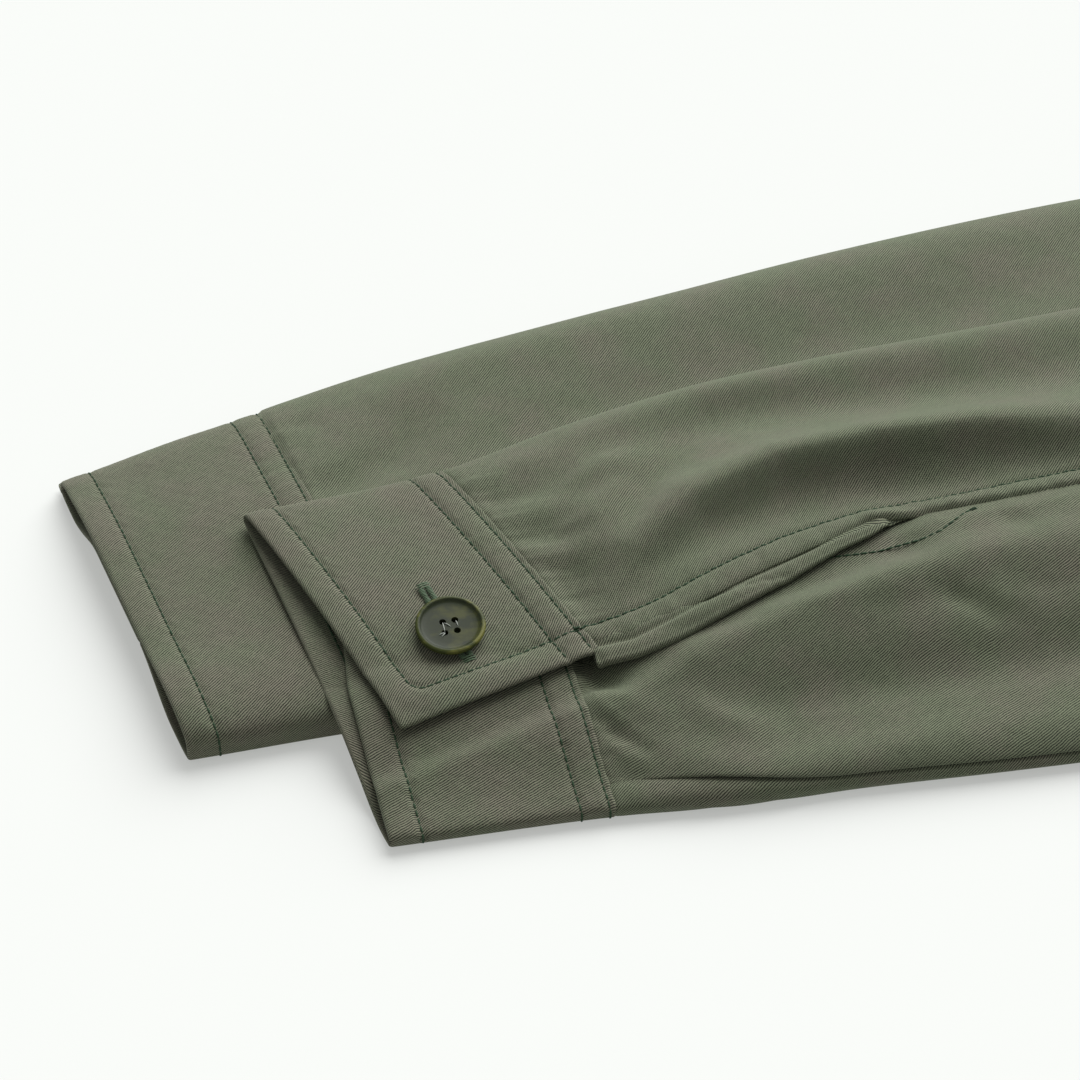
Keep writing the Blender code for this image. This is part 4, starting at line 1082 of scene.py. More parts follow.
def make_right_cuff():
    """A strip all round, from one side of its slit to the other."""
    q = cuff_rows(RIGHT, RIGHT_CUFF_ROWS)
    first = angle_of(RIGHT_SLIT, False) + RIGHT_SLIT_TURN
    angles = even_angles(first, first + 360.0 - 2 * RIGHT_SLIT_TURN, RIGHT_CUFF_COLUMNS)
    points, _ = sleeve_surface(RIGHT, q, angles, "over", "cuff")
    along = q * RIGHT.length + np.zeros(RIGHT_CUFF_COLUMNS)
    places = round_places(points, along, RIGHT_CUFF_UP, RIGHT_CUFF_WALES)
    up_at = (RIGHT_CUFF_ROWS // 2, RIGHT_CUFF_UP)
    return shell("right_cuff", points, CUFF_CLOTH, places, TWILL_CUFF, up_at)


# ---- sewing ---------------------------------------------------------------------------
def place_of(s, v):
    """Row and place of the left sleeve's upper layer at distances along and across."""
    s, v = np.asarray(s, float), np.asarray(v, float)
    q, w = (s - LEFT.middle[1]) / LEFT.length, np.zeros_like(s)
    for _ in range(PLACE_PASSES):
        low_s, low_v, up_s, up_v, _ = LEFT.section(q)
        w = (v - low_v) / (up_v - low_v) * 2.0 - 1.0
        here = low_s + (up_s - low_s) * (w + 1.0) / 2.0 + turned(q, w, "over")
        q = q + (s - here) / LEFT.length
    return q, w


STEP_ALONG = 0.3           # small steps that give a surface's normal, in millimetres and degrees
STEP_ROUND = 0.2


def line_on(sleeve, q, angle, part, kind):
    """Points and outward normals along a line of a sleeve or cuff."""
    point = sleeve_surface(sleeve, q, angle, part, kind)[0]
    along = sleeve_surface(sleeve, q + STEP_ALONG / sleeve.length, angle, part, kind)[0] - point
    around = sleeve_surface(sleeve, q, angle + STEP_ROUND, part, kind)[0] - point
    normal = unit(np.cross(around, along))
    return point, normal * np.sign((normal[..., 2] * np.sin(np.radians(angle))).sum())


def spaced(points, values, places):
    """The line's values at distances along it."""
    lengths = running_length(points)
    return np.stack([np.interp(places, lengths, values[:, k]) for k in range(3)], axis=-1)


STITCH_STEPS = np.linspace(0.0, 1.0, 5)
STITCH_SIDES = np.radians(np.arange(0.0, 360.0, 60.0))
THREAD_SUNK = 0.05
THREAD_ENDS = 0.2          # how blunt a thread's ends are


def threads(centres, normals, radius, rise):
    """Short rounded threads: centres are (count, steps, 3)."""
    count, steps, _ = centres.shape
    t = np.linspace(0.0, 1.0, steps)[None, :, None]
    centres = centres + normals * (rise * arch(t) - THREAD_SUNK)
    tangent = unit(np.gradient(centres, axis=1))
    side = unit(np.cross(tangent, normals))
    up = np.cross(side, tangent)
    width = radius * np.sqrt(np.clip(1.0 - (2.0 * t - 1.0) ** 4, THREAD_ENDS, 1.0))
    ring = (side[:, :, None, :] * np.cos(STITCH_SIDES)[:, None]
            + up[:, :, None, :] * np.sin(STITCH_SIDES)[:, None])
    points = centres[:, :, None, :] + ring * width[:, :, None, :]
    sides = len(STITCH_SIDES)
    index = np.arange(count * steps * sides).reshape(count, steps, sides)
    caps = np.concatenate([index[:, 0, ::-1], index[:, -1]])
    return points.reshape(-1, 3), joined(index[:, :-1], index[:, 1:]), caps


TACK_RISE = 0.42
TACK_LEAN = (0.12, 40.0)
TACK_SPREAD = (0.15, 55.0)


class Sewing:
    """Stitches gathered for one object."""

    def __init__(self):
        self.parts = []
        self.count = 0

    def run(self, points, normals, pitch=STITCH, gap=0.12, radius=THREAD, rise=0.12):
        """Running stitches along a line."""
        total = running_length(points)[-1]
        count = max(1, int(total / pitch))
        starts = np.arange(count) * (total / count) + gap / 2
        places = (starts[:, None] + (total / count - gap) * STITCH_STEPS[None, :]).ravel()
        self.add(spaced(points, points, places).reshape(count, -1, 3),
                 unit(spaced(points, normals, places)).reshape(count, -1, 3), radius, rise)

    def tack(self, start, end, normal, width, pitch=0.42, radius=0.2):
        """Close stitches across a line, as on a bartack or buttonhole."""
        count = max(2, int(np.linalg.norm(end - start) / pitch))
        across = unit(np.cross(end - start, normal)) * width / 2
        t = np.linspace(0.0, 1.0, count)[:, None]
        middle = start + (end - start) * t
        size, pace = TACK_LEAN
        lean = size * ripple(t * pace, 2.0) * unit(end - start)
        size, pace = TACK_SPREAD
        spread = 1.0 + size * ripple(t * pace, 5.0)
        left, right = middle - across * spread, middle + across * spread + lean
        centres = left[:, None, :] + (right - left)[:, None, :] * STITCH_STEPS[None, :, None]
        self.add(centres, np.broadcast_to(normal, centres.shape), radius, TACK_RISE)

    def add(self, centres, normals, radius, rise):
        points, quads, caps = threads(centres, normals, radius, rise)
        self.parts.append((points, quads + self.count, caps + self.count))
        self.count += len(points)

    def make(self, name, material):
        points, quads, caps = (np.concatenate(values) for values in zip(*self.parts))
        return mesh_from(name, points, [quads, caps], points[:, :2], material)


def thread_material(name, colour, roughness, sheen):
    return new_material(name, {"Base Color": colour, "Roughness": roughness, "Sheen Weight": sheen})[0]


THREAD_GREEN = thread_material("thread", (0.009, 0.034, 0.010, 1.0), 0.85, 0.0)
THREAD_LIGHT = thread_material("buttonhole_thread", (0.060, 0.110, 0.052, 1.0), 0.7, 0.2)
THREAD_GREY = thread_material("button_thread", (0.30, 0.33, 0.29, 1.0), 0.7, 0.3)


RING_STEPS = 400


def cuff_ring(sewing, sleeve, from_seam, part, first, last):
    """A row of stitches round a cuff, between two angles."""
    angle = even_angles(first, last, RING_STEPS)[0]
    q = np.full_like(angle, (CUFF_END[sleeve.side] - from_seam) / sleeve.length)
    sewing.run(*line_on(sleeve, q, angle, part, "cuff"))


def overlap_edge_line(q, inside):
    """Angles of a line on the overlap, so far inside its free edge."""
    return 360.0 + angle_of(overlap_edge_w(q) + inside / LEFT.half_width(q), True)


TWIN_ROWS = (EDGE_STITCH, EDGE_STITCH + TWIN)
UNDERLAP_SEWN = UNDERLAP_END - SEWN_IN / 64.0
INSIDE_HEM = (184.0, 330.0)       # where the hem's stitches can be seen from inside
BACK_TACKS = ((0.0, 3.0), (0.9, 2.2))      # a shift to one side, and a length
BACK_TACK_START = 0.6
BACK_TACK_SEWN = (1.6, 0.2, 0.3)           # pitch, gap and radius
BACK_TACK_LIFT = (0.15, 0.1)               # the second one lies on the first
BACK_TACK_STEPS = 8
INSIDE_STEPS = 300
CORNER_STEPS = 12
EDGE_STEPS = 60


def make_left_cuff_sewing():
    sewing = Sewing()
    start, length, end = LEFT.share[0], LEFT.length, CUFF_END["left"]
    underlap = angle_of(UNDERLAP_END, True)
    for from_seam in TWIN_ROWS:
        edge = overlap_edge_line((end - from_seam) / length, 1.0)
        cuff_ring(sewing, LEFT, from_seam, "over", 180.0, edge)
        cuff_ring(sewing, LEFT, from_seam, "under", underlap + 3.0, 180.0)
    # the hem, round the tube, to the overlap's rounded corner and up its edge
    c = SEWN_IN + SEWN_CORNER
    turn = np.radians(np.linspace(0.0, 90.0, CORNER_STEPS))
    up_edge = np.linspace(c + 1.0, end - start * length - EDGE_STITCH, EDGE_STEPS)
    from_hem = np.concatenate([c - SEWN_CORNER * np.cos(turn), up_edge])
    inside = np.concatenate([c - SEWN_CORNER * np.sin(turn), np.full_like(up_edge, SEWN_IN)])
    q = start + from_hem / length
    edge = overlap_edge_line(q, inside)
    round_it = even_angles(180.0, edge[0] - 0.3, RING_STEPS)[0]
    hem_q = start + SEWN_IN / length
    q = np.concatenate([np.full_like(round_it, hem_q), q])
    sewing.run(*line_on(LEFT, q, np.concatenate([round_it, edge]), "over", "cuff"))
    # the underlap's hem, and the overlap's from inside
    cuff_ring(sewing, LEFT, end - hem_q * length, "under", angle_of(UNDERLAP_SEWN, True), 180.0)
    angle = even_angles(*INSIDE_HEM, INSIDE_STEPS)[0]
    points, normals = line_on(LEFT, np.full_like(angle, hem_q), angle, "over", "cuff")
    sewing.run(points - normals * CUFF_CLOTH, -normals)
    # back tacks where the rows cross
    seam_q = (end - EDGE_STITCH) / length
    angle = overlap_edge_line(seam_q, SEWN_IN)
    for shift, reach in BACK_TACKS:
        q = seam_q + np.linspace(-BACK_TACK_START, reach - BACK_TACK_START, BACK_TACK_STEPS) / length
        points, normals = line_on(LEFT, q, np.full_like(q, angle - shift * 0.5), "over", "cuff")
        lift, more = BACK_TACK_LIFT
        sewing.run(points + normals * (lift + more * shift), normals, *BACK_TACK_SEWN)
    return sewing.make("left_cuff_stitching", THREAD_GREEN)


# Along and across, on the under sleeve.
PLACKET_STITCH = ((150.0, -2.4), (156.0, -2.9), (166.3, -3.9), (178.5, -4.2), (184.8, -3.5),
                  (190.6, -0.1), (194.9, 2.4), (196.5, 3.0))


SEAM_STITCH_END = 0.985
SEAM_STITCH_STEPS = 900
BARTACK_WIDTH = 1.6
RIGHT_RING = (2.0, 356.0)         # degrees: from the slit, and all round


def make_left_sleeve_sewing():
    sewing = Sewing()
    q = np.linspace((CUFF_END["left"] - 1.0) / LEFT.length, SEAM_STITCH_END, SEAM_STITCH_STEPS)
    angle = angle_of(line_w(LEFT, q, "stitch_v"), True)
    sewing.run(*line_on(LEFT, q, angle, "over", "sleeve"))
    # the row that shows below the placket's end, with its bartack
    q, w = place_of(*zip(*PLACKET_STITCH))
    points, normals = line_on(LEFT, q, angle_of(w, True), "under", "sleeve")
    sewing.run(points, normals)
    sewing.tack(points[-1], 2.0 * points[-1] - points[-2], normals[-1], BARTACK_WIDTH)
    return sewing.make("left_sleeve_stitching", THREAD_GREEN)


def make_right_cuff_sewing():
    sewing = Sewing()
    depth = -RIGHT.share[0] * RIGHT.length + CUFF_END["right"]
    start, reach = RIGHT_RING
    first = angle_of(RIGHT_SLIT, False) + start
    for from_seam in (*TWIN_ROWS, depth - SEWN_IN):
        cuff_ring(sewing, RIGHT, from_seam, "over", first, first + reach)
    return sewing.make("right_cuff_stitching", THREAD_GREEN)


# ---- placket ----------------------------------------------------------------------------
PLACKET_ENDS = (76.5, 184.0)
PLACKET_ROWS = 140
PLACKET_COLUMNS = 14              # on its face and on its roll, and half as many on its back
PLACKET_UP = (60, 5)              # a row and column that face up
PLACKET_ROLL = 1.35
PLACKET_WALL = 0.8
PLACKET_WALES = 52.0
ROLL_EASES = ((110.0, 60.0, 0.45), (164.0, 14.0, 0.7))   # spans along, and the share that goes
PLACKET_DRAWN = 2.8               # how far its edge draws in, over a span along
PLACKET_END = (164.0, 12.0)
PLACKET_INSIDE = 2.2              # so much of it is hidden above the seam
PLACKET_BACK = 4.5                # and so much turns back under it
PLACKET_LEVEL = 0.35
PLACKET_DROP = 1.25               # below the top sleeve, over a span across
DROP_SPAN = (-1.6, 2.2)
PLACKET_CROWN = (0.45, 5.0)
PLACKET_GROOVE = (1.1, -0.7, 0.9)          # under the seam: depth, place and width
PLACKET_SINK = 1.2                # at its end, over a span along
SINK_SPAN = (168.0, 14.0)


def make_placket():
    """The strip that binds the slit: rolled over at its lower edge, open at the cuff."""
    s = np.linspace(*PLACKET_ENDS, PLACKET_ROWS)[:, None]
    seam = line_at(s, "seam_v")
    roll = PLACKET_ROLL
    for start, reach, share in ROLL_EASES:
        roll = roll * (1.0 - share * rising(s, start, reach))
    inner = line_at(s, "placket_v") + PLACKET_DRAWN * rising(s, *PLACKET_END) + roll
    hidden = seam + PLACKET_INSIDE
    v_top = hidden + (inner - hidden) * np.linspace(0.0, 1.0, PLACKET_COLUMNS)
    turn = np.radians(np.linspace(0.0, 180.0, PLACKET_COLUMNS)[1:])
    v_roll = inner - roll * np.sin(turn)
    v_back = inner + PLACKET_BACK * np.linspace(0.0, 1.0, PLACKET_COLUMNS // 2)[1:]
    q, w = place_of(np.broadcast_to(s, v_top.shape), v_top)
    z_top = sleeve_surface(LEFT, q, angle_of(w, True), "over", "cuff")[0][..., 2] - PLACKET_LEVEL
    off = v_top - seam
    height, width = PLACKET_CROWN
    z_top = z_top - PLACKET_DROP * rising(off, *DROP_SPAN) + height * arch((v_top - inner) / width)
    z_top = z_top - swell(off, *PLACKET_GROOVE) - PLACKET_SINK * rising(s, *SINK_SPAN)
    z_edge = z_top[:, -1:]
    z_roll = z_edge - roll * (1.0 - np.cos(turn))
    v = np.concatenate([v_top, v_roll, v_back], axis=1)
    z = np.concatenate([z_top, z_roll, np.broadcast_to(z_edge - 2.0 * roll, v_back.shape)], axis=1)
    s = np.broadcast_to(s, v.shape)
    points = np.stack([*LEFT.plan(s, v), z], axis=-1)
    places = weave_places(s, -running_length(np.stack([v, z], axis=-1)), PLACKET_WALES)
    return shell("placket_strip", points, PLACKET_WALL, places, TWILL, PLACKET_UP)


# ---- button and buttonhole --------------------------------------------------------------
FRAME_STEPS = ((4.0, 0.0), (-4.0, 0.0), (0.0, 4.0), (0.0, -4.0))


def overlap_frame(s, v):
    """A point of the overlap, and its normal over a button's reach."""
    def point_at(step):
        q, w = place_of(s + step[0], v + step[1])
        return sleeve_surface(LEFT, q, angle_of(w, True), "over", "cuff")[0]

    right, left, far, near = (point_at(step) for step in FRAME_STEPS)
    return point_at((0.0, 0.0)), unit(np.cross(unit(right - left), unit(far - near)))


def lathe(radii, heights, sides):
    """A turned solid: closed at both ends of its profile."""
    angle = np.radians(np.arange(sides) * 360.0 / sides)
    rings = [np.stack([r * np.cos(angle), r * np.sin(angle), np.full(sides, z)], axis=-1)
             for r, z in zip(radii[1:-1], heights[1:-1])]
    points = np.concatenate([[(0.0, 0.0, heights[0])], [(0.0, 0.0, heights[-1])]] + rings)
    index = 2 + np.arange(len(rings) * sides).reshape(-1, sides)
    fans = np.concatenate([np.stack([np.full(sides, 0), np.roll(index[0], -1), index[0]], axis=-1),
                           np.stack([np.full(sides, 1), index[-1], np.roll(index[-1], -1)], axis=-1)])
    return points, joined(index[:-1], index[1:]), fans


BUTTON_HOLES = ((-2.2, 1.0), (1.2, 1.8), (-1.5, -2.7), (2.0, -1.8))   # right and away in the view
HOLE = 1.0
PROFILE_COLUMNS = ("radius", "height")
BUTTON_PROFILE = (
    (0.0, 0.0), (0.50, 0.0), (0.80, 0.08), (0.93, 0.28), (0.985, 0.50), (1.0, 0.68), (0.995, 0.84),
    (0.975, 0.94), (0.94, 0.99), (0.905, 0.995), (0.875, 0.96), (0.85, 0.88), (0.82, 0.80), (0.76, 0.76),
    (0.6, 0.74), (0.3, 0.73), (0.0, 0.73))


BUTTON_SIDES = 96
DRILL_SIDES = 24
DRILL = ((0.0, HOLE, HOLE, 0.0), (-2.0, -2.0, 8.0, 8.0))      # radii and heights
SHARP_EDGE = 30.0                 # degrees
FACE_LEVEL = 0.73                 # the face's height, as a share of the button's
RIM_SPAN = (0.0088, 0.0092)       # metres from the button's middle
STREAK_SPAN = (0.50, 0.66)
SWIRL = (150.0, 3.0, (1.0, 1.6, 1.0))
FACE_COLOURS = ((0.021, 0.027, 0.013, 1.0), (0.047, 0.052, 0.016, 1.0))
EDGE_COLOURS = ((0.036, 0.045, 0.010, 1.0), (0.120, 0.120, 0.028, 1.0))
RESIN_FINISH = {"Roughness": 0.38, "Specular IOR Level": 0.12, "Subsurface Weight": 0.12,
                "Subsurface Radius": (0.001, 0.0012, 0.0004)}


def button_material():
    """Marbled resin, darker on its face than on its rim."""
    material, tree, shader = new_material("resin", RESIN_FINISH)
    place = tree.nodes.new("ShaderNodeTexCoord").outputs["Object"]
    split = split_vector(tree, place)
    flat = tree.nodes.new("ShaderNodeCombineXYZ")
    for name in "XY":
        tree.links.new(split[name], flat.inputs[name])
    radius = tree.nodes.new("ShaderNodeVectorMath")
    radius.operation = "LENGTH"
    tree.links.new(flat.outputs[0], radius.inputs[0])

    def share(value, span):
        node = tree.nodes.new("ShaderNodeMapRange")
        for name, limit in zip(("From Min", "From Max"), span):
            node.inputs[name].default_value = limit
        tree.links.new(value, node.inputs["Value"])
        return node.outputs[0]

    streak = share(noise(tree, place, *SWIRL), STREAK_SPAN)
    face, edge = (mix_colour(tree, streak, *colours) for colours in (FACE_COLOURS, EDGE_COLOURS))
    colour = mix_colour(tree, share(radius.outputs["Value"], RIM_SPAN), face, edge)
    tree.links.new(colour, shader.inputs["Base Color"])
    return material


def turned_piece(name, radii, heights, sides, at, material):
    """A lathed object about the frame's origin, moved by so much."""
    points, quads, fans = lathe(radii, heights, sides)
    piece = mesh_from(name, points + (*ORIGIN, 0.0) + at, [quads, fans], points[:, :2], material)
    face_outwards(piece)
    return piece


def make_button_piece():
    """A turned four-hole button on the overlap, and the place where it sits."""
    point, normal = overlap_frame(*BUTTON_AT)
    radii = column(BUTTON_PROFILE, PROFILE_COLUMNS, "radius") * BUTTON_SIZE / 2
    heights = column(BUTTON_PROFILE, PROFILE_COLUMNS, "height") * BUTTON_THICK
    resin = button_material()
    body = turned_piece("button_disc", radii, heights, BUTTON_SIDES, np.zeros(3), resin)
    drills = [turned_piece("drill", *DRILL, DRILL_SIDES, np.array([*at, 0.0]), resin)
              for at in BUTTON_HOLES]
    for drill in drills:
        cut = body.modifiers.new("hole", "BOOLEAN")
        cut.object = drill
        cut.solver = "EXACT"
    shape = bpy.data.meshes.new_from_object(body.evaluated_get(bpy.context.evaluated_depsgraph_get()))
    body.modifiers.clear()
    shape.set_sharp_from_angle(angle=math.radians(SHARP_EDGE))
    body.data = shape
    for drill in drills:
        bpy.data.objects.remove(drill, do_unlink=True)
    right = np.array([math.cos(CAMERA_TURN), math.sin(CAMERA_TURN), 0.0])
    right = unit(right - normal * (right @ normal))
    away = np.cross(normal, right)
    seat = in_metres(point + normal * BUTTON_LIFT)
    body.matrix_world = Matrix([[right[k], away[k], normal[k], seat[k]] for k in range(3)]
                               + [[0.0, 0.0, 0.0, 1.0]])
    return body, point, normal, right, away


BUTTONHOLE = (-16.6, 10.4)        # its ends from the button's centre
BUTTONHOLE_TURN = -62.0           # from the view's right
LIP_AT = 1.05                     # its two sides: place, then width, pitch and radius of the tack
LIP_TACK = (1.9, 0.5, 0.21)
BAR_LENGTH = 1.6
BAR_TACK = (4.4, 0.45, 0.24)


def make_buttonhole(point, normal, right, away):
    sewing = Sewing()
    turn = math.radians(BUTTONHOLE_TURN)
    way = right * math.cos(turn) + away * math.sin(turn)
    across = np.cross(normal, way)
    start, end = BUTTONHOLE
    for side in (-1.0, 1.0):
        shift = across * side * LIP_AT
        sewing.tack(point + way * start + shift, point + way * end + shift, normal, *LIP_TACK)
    for at, beyond in ((start, start - BAR_LENGTH), (end, end + BAR_LENGTH)):
        sewing.tack(point + way * at, point + way * beyond, normal, *BAR_TACK)
    return sewing.make("buttonhole_stitching", THREAD_LIGHT)


# Both ends of each thread that shows on the button's face: right and away.
BUTTON_THREADS = (((-2.2, 0.8), (-1.5, -2.5)), ((-1.5, -2.7), (-3.2, -3.6)), ((-1.4, -2.9), (-2.4, -4.3)),
                  ((-1.8, 0.7), (0.2, -0.6)), ((1.5, 1.6), (2.2, -0.4)))
BUTTON_THREAD = 0.15              # radius
THREAD_RISE = 0.3
THREAD_STEPS = 8


def make_button_thread(point, normal, right, away):
    sewing = Sewing()
    middle = point + normal * (BUTTON_LIFT + BUTTON_THICK * FACE_LEVEL)
    for ends in BUTTON_THREADS:
        start, end = (middle + right * x + away * y for x, y in ends)
        line = start + (end - start) * np.linspace(0.0, 1.0, THREAD_STEPS)[:, None]
        sewing.run(line, np.broadcast_to(normal, line.shape), running_length(line)[-1], 0.0,
                   BUTTON_THREAD, THREAD_RISE)
    return sewing.make("button_thread_ends", THREAD_GREY)


# ---- the body ------------------------------------------------------------------------
def stretches(stops, counts):
    steps = [np.linspace(a, b, n + 1)[:-1] for a, b, n in zip(stops, stops[1:], counts)]
    return np.concatenate(steps + [[stops[-1]]])


def body_x(edge, inner, shift, counts):
    return stretches((edge, SIDE_NECK[0] + shift, -BACK_NECK_FLAT + shift, inner), counts)


def body_y(share, end):
    return HEM_BAND + SEAM_GAP + share * (end - HEM_BAND - SEAM_GAP)


BODY_CREASES = (
    (1.0, (-255, 330, 12, 0.0), (-180, 300, 18, -2.0), (-90, 315, 20, -1.6), (-30, 330, 18, 0.0)),
    (1.0, (-260, 372, 12, 0.0), (-190, 352, 16, 1.4), (-110, 372, 18, 1.2), (-40, 400, 18, 0.0)),
    (1.0, (-225, 455, 12, 0.0), (-170, 430, 15, -1.6), (-100, 440, 18, -1.4), (-50, 470, 18, 0.0)),
    (1.0, (-150, 560, 14, 0.0), (-110, 500, 18, 1.6), (-80, 430, 20, 1.0), (-60, 360, 20, 0.0)),
    (1.0, (-235, 120, 12, 0.0), (-170, 150, 16, -1.6), (-90, 140, 18, -1.8), (-30, 120, 16, 0.0)),
    (1.0, (-215, 80, 10, 0.0), (-190, 140, 14, 1.2), (-175, 210, 16, 1.0), (-180, 280, 16, 0.0)),
    (1.0, (-120, 78, 10, 0.0), (-105, 130, 13, -1.2), (-110, 200, 16, -1.0), (-100, 260, 16, 0.0)),
    (1.0, (-70, 78, 10, 0.0), (-62, 140, 13, 1.2), (-70, 210, 15, 0.8), (-72, 270, 16, 0.0)),
    (1.0, (-160, 610, 10, 0.0), (-120, 585, 14, -1.2), (-70, 590, 14, -1.0), (-35, 600, 12, 0.0)),
)


BODY_FADES = ((0.0, 30.0), (-5.0, 25.0))   # spans from the side seam, and from the folded edge
GATHERS = (0.6, 18.0)             # above the hem band: height and width
GATHERS_PACE = 0.30
GATHERS_RISE = (1.0, 9.0)
BAND_GROOVE = (1.0, 0.0, 2.2)     # depth, place and width
SIDE_STITCH = 7.0
SIDE_PULL = (0.4, 1.2)


def body_relief(x, y, edge):
    """Creases of the back, gathers and a groove at the hem band, and the side's stitching."""
    near_side, near_fold = BODY_FADES
    fade = rising(x - edge, *near_side) * rising(-FOLD_DEPTH - x, *near_fold)
    from_band = y - HEM_BAND
    height, width = GATHERS
    gathers = height * ripple(x * GATHERS_PACE, 6.0) * bell(from_band, width)
    gathers = gathers * rising(from_band, *GATHERS_RISE)
    side = sewn(x - edge - SIDE_STITCH, y, 7.0, *SIDE_PULL)
    return crease_field(x, y, BODY_CREASES) * fade + gathers - swell(from_band, *BAND_GROOVE) + side


BACK_ROWS = 130
BACK_UP = 20
BACK_COUNTS = ((44, 12, 5), (24, 8, 12))   # columns of the top and low half, between the stops
FOLD_TURNS = np.radians(np.linspace(90.0, -90.0, 19)[1:-1])
BODY_WALES = 45.0


def half_row(share, shift, inner, counts, end):
    """Places across and up one half of the body, and its side edge."""
    edge = float(side_edge(HEM_BAND + share * (SHOULDER_TIP[1] - HEM_BAND))) + shift
    ends = end(-np.abs(body_x(SHOULDER_TIP[0] + shift, inner, shift, counts) - shift))
    return body_x(edge, inner, shift, counts), body_y(share, ends), edge


def make_back_panel():
    """One panel: left half on top, folded edge, right half on the table."""
    top_counts, low_counts = BACK_COUNTS
    power = 2.0 / ROUNDNESS
    reach = np.cos(FOLD_TURNS) ** power * FOLD_DEPTH
    rise = np.sign(np.sin(FOLD_TURNS)) * np.abs(np.sin(FOLD_TURNS)) ** power
    rows = []
    for share in np.linspace(0.0, 1.0, BACK_ROWS):
        x, y, edge = half_row(share, FOLD_OFFSET, -FOLD_DEPTH, top_counts, back_end)
        z = left_half_top(x, y) + body_relief(x, y, edge)
        fold_y = np.full_like(reach, body_y(share, BACK_NECK_Y))
        low_x, low_y, _ = half_row(share, -FOLD_OFFSET, -FOLD_DEPTH, low_counts, back_end)
        rows.append(np.concatenate([
            np.stack([x, y, z], axis=-1),
            np.stack([reach - FOLD_DEPTH, fold_y, z[-1] / 2 * (1.0 + rise)], axis=-1),
            np.stack([low_x, low_y, np.zeros_like(low_x)], axis=-1)[::-1]]))
    points = np.array(rows)
    middle = BACK_ROWS // 2
    across = np.concatenate([[0.0], np.cumsum(np.abs(np.diff(points[middle], axis=0)).sum(axis=1))])
    places = weave_places(points[..., 1], across[None, :] + 0.0 * points[..., 1], BODY_WALES)
    return shell("back_panel", points, CLOTH, places, TWILL, (middle, BACK_UP))


LOBE = 1.1                        # how far each layer's edge stands out
LOBE_STEPS = 5


def layered_pad(name, x, y, low, high, layers):
    """A rounded solid between two surfaces, with layered edges."""
    count = x.size
    index = np.arange(count).reshape(x.shape)
    loop = border(index)
    plan = np.stack([x.ravel(), y.ravel()], axis=-1)
    low, high = low.ravel(), high.ravel()
    rim = plan[loop]
    tangent = unit(np.roll(rim, -1, axis=0) - np.roll(rim, 1, axis=0))
    outward = np.stack([tangent[:, 1], -tangent[:, 0]], axis=-1)
    if ((rim - plan.mean(axis=0)) * outward).sum() < 0.0:
        outward = -outward
    rings = []
    for share in np.arange(1, LOBE_STEPS * layers) / (LOBE_STEPS * layers):
        lobe = LOBE * math.sin(math.pi * ((share * layers) % 1.0))
        z = high[loop] * (1.0 - share) + low[loop] * share
        rings.append(np.column_stack([rim + outward * lobe, z]))
    points = np.concatenate([np.column_stack([plan, high]), np.column_stack([plan, low])] + rings)
    quad = grid_quads(index)
    levels = ring_levels(loop, count, len(rings))
    sides = np.concatenate([joined(near, far) for near, far in zip(levels, levels[1:])])
    places = weave_places(points[:, 1], points[:, 0] + points[:, 2], BODY_WALES)
    piece = mesh_from(name, points, [quad, quad[:, ::-1] + count, sides], places, TWILL)
    face_outwards(piece)
    return piece


FRONTS = {"left": (FOLD_OFFSET, (30, 14, 4)), "right": (-FOLD_OFFSET, (26, 14, 12))}
FRONT_ROWS = 90


def make_front(side):
    """A hidden front between the halves of the back."""
    shift, counts = FRONTS[side]
    rows = []
    for share in np.linspace(0.0, 1.0, FRONT_ROWS):
        x, y, edge = half_row(share, shift, -FRONT_INSET, counts, front_end)
        top_of_right = right_half_top(x, y)
        if side == "right":
            low, high = np.full_like(x, CLOTH + SEAM_GAP), top_of_right
        else:
            low = top_of_right + SEAM_GAP
            under = left_half_top(x, y) + np.minimum(body_relief(x, y, edge), 0.0)
            high = np.maximum(under - CLOTH - 2 * SEAM_GAP, top_of_right + LAY_GAP)
        rows.append(np.stack([x, y, low, high], axis=-1))
    return layered_pad("front_%s_layers" % side, *np.moveaxis(np.array(rows), -1, 0), 2)


def back_neckline(x):
    return back_end(x) + NECK_GAP


def front_neckline(x):
    return front_end(x) + NECK_GAP


TURN_STEPS = np.linspace(-90.0, 90.0, 15)[1:-1]
END_COLUMNS = 4                   # from the zip to the inner turn


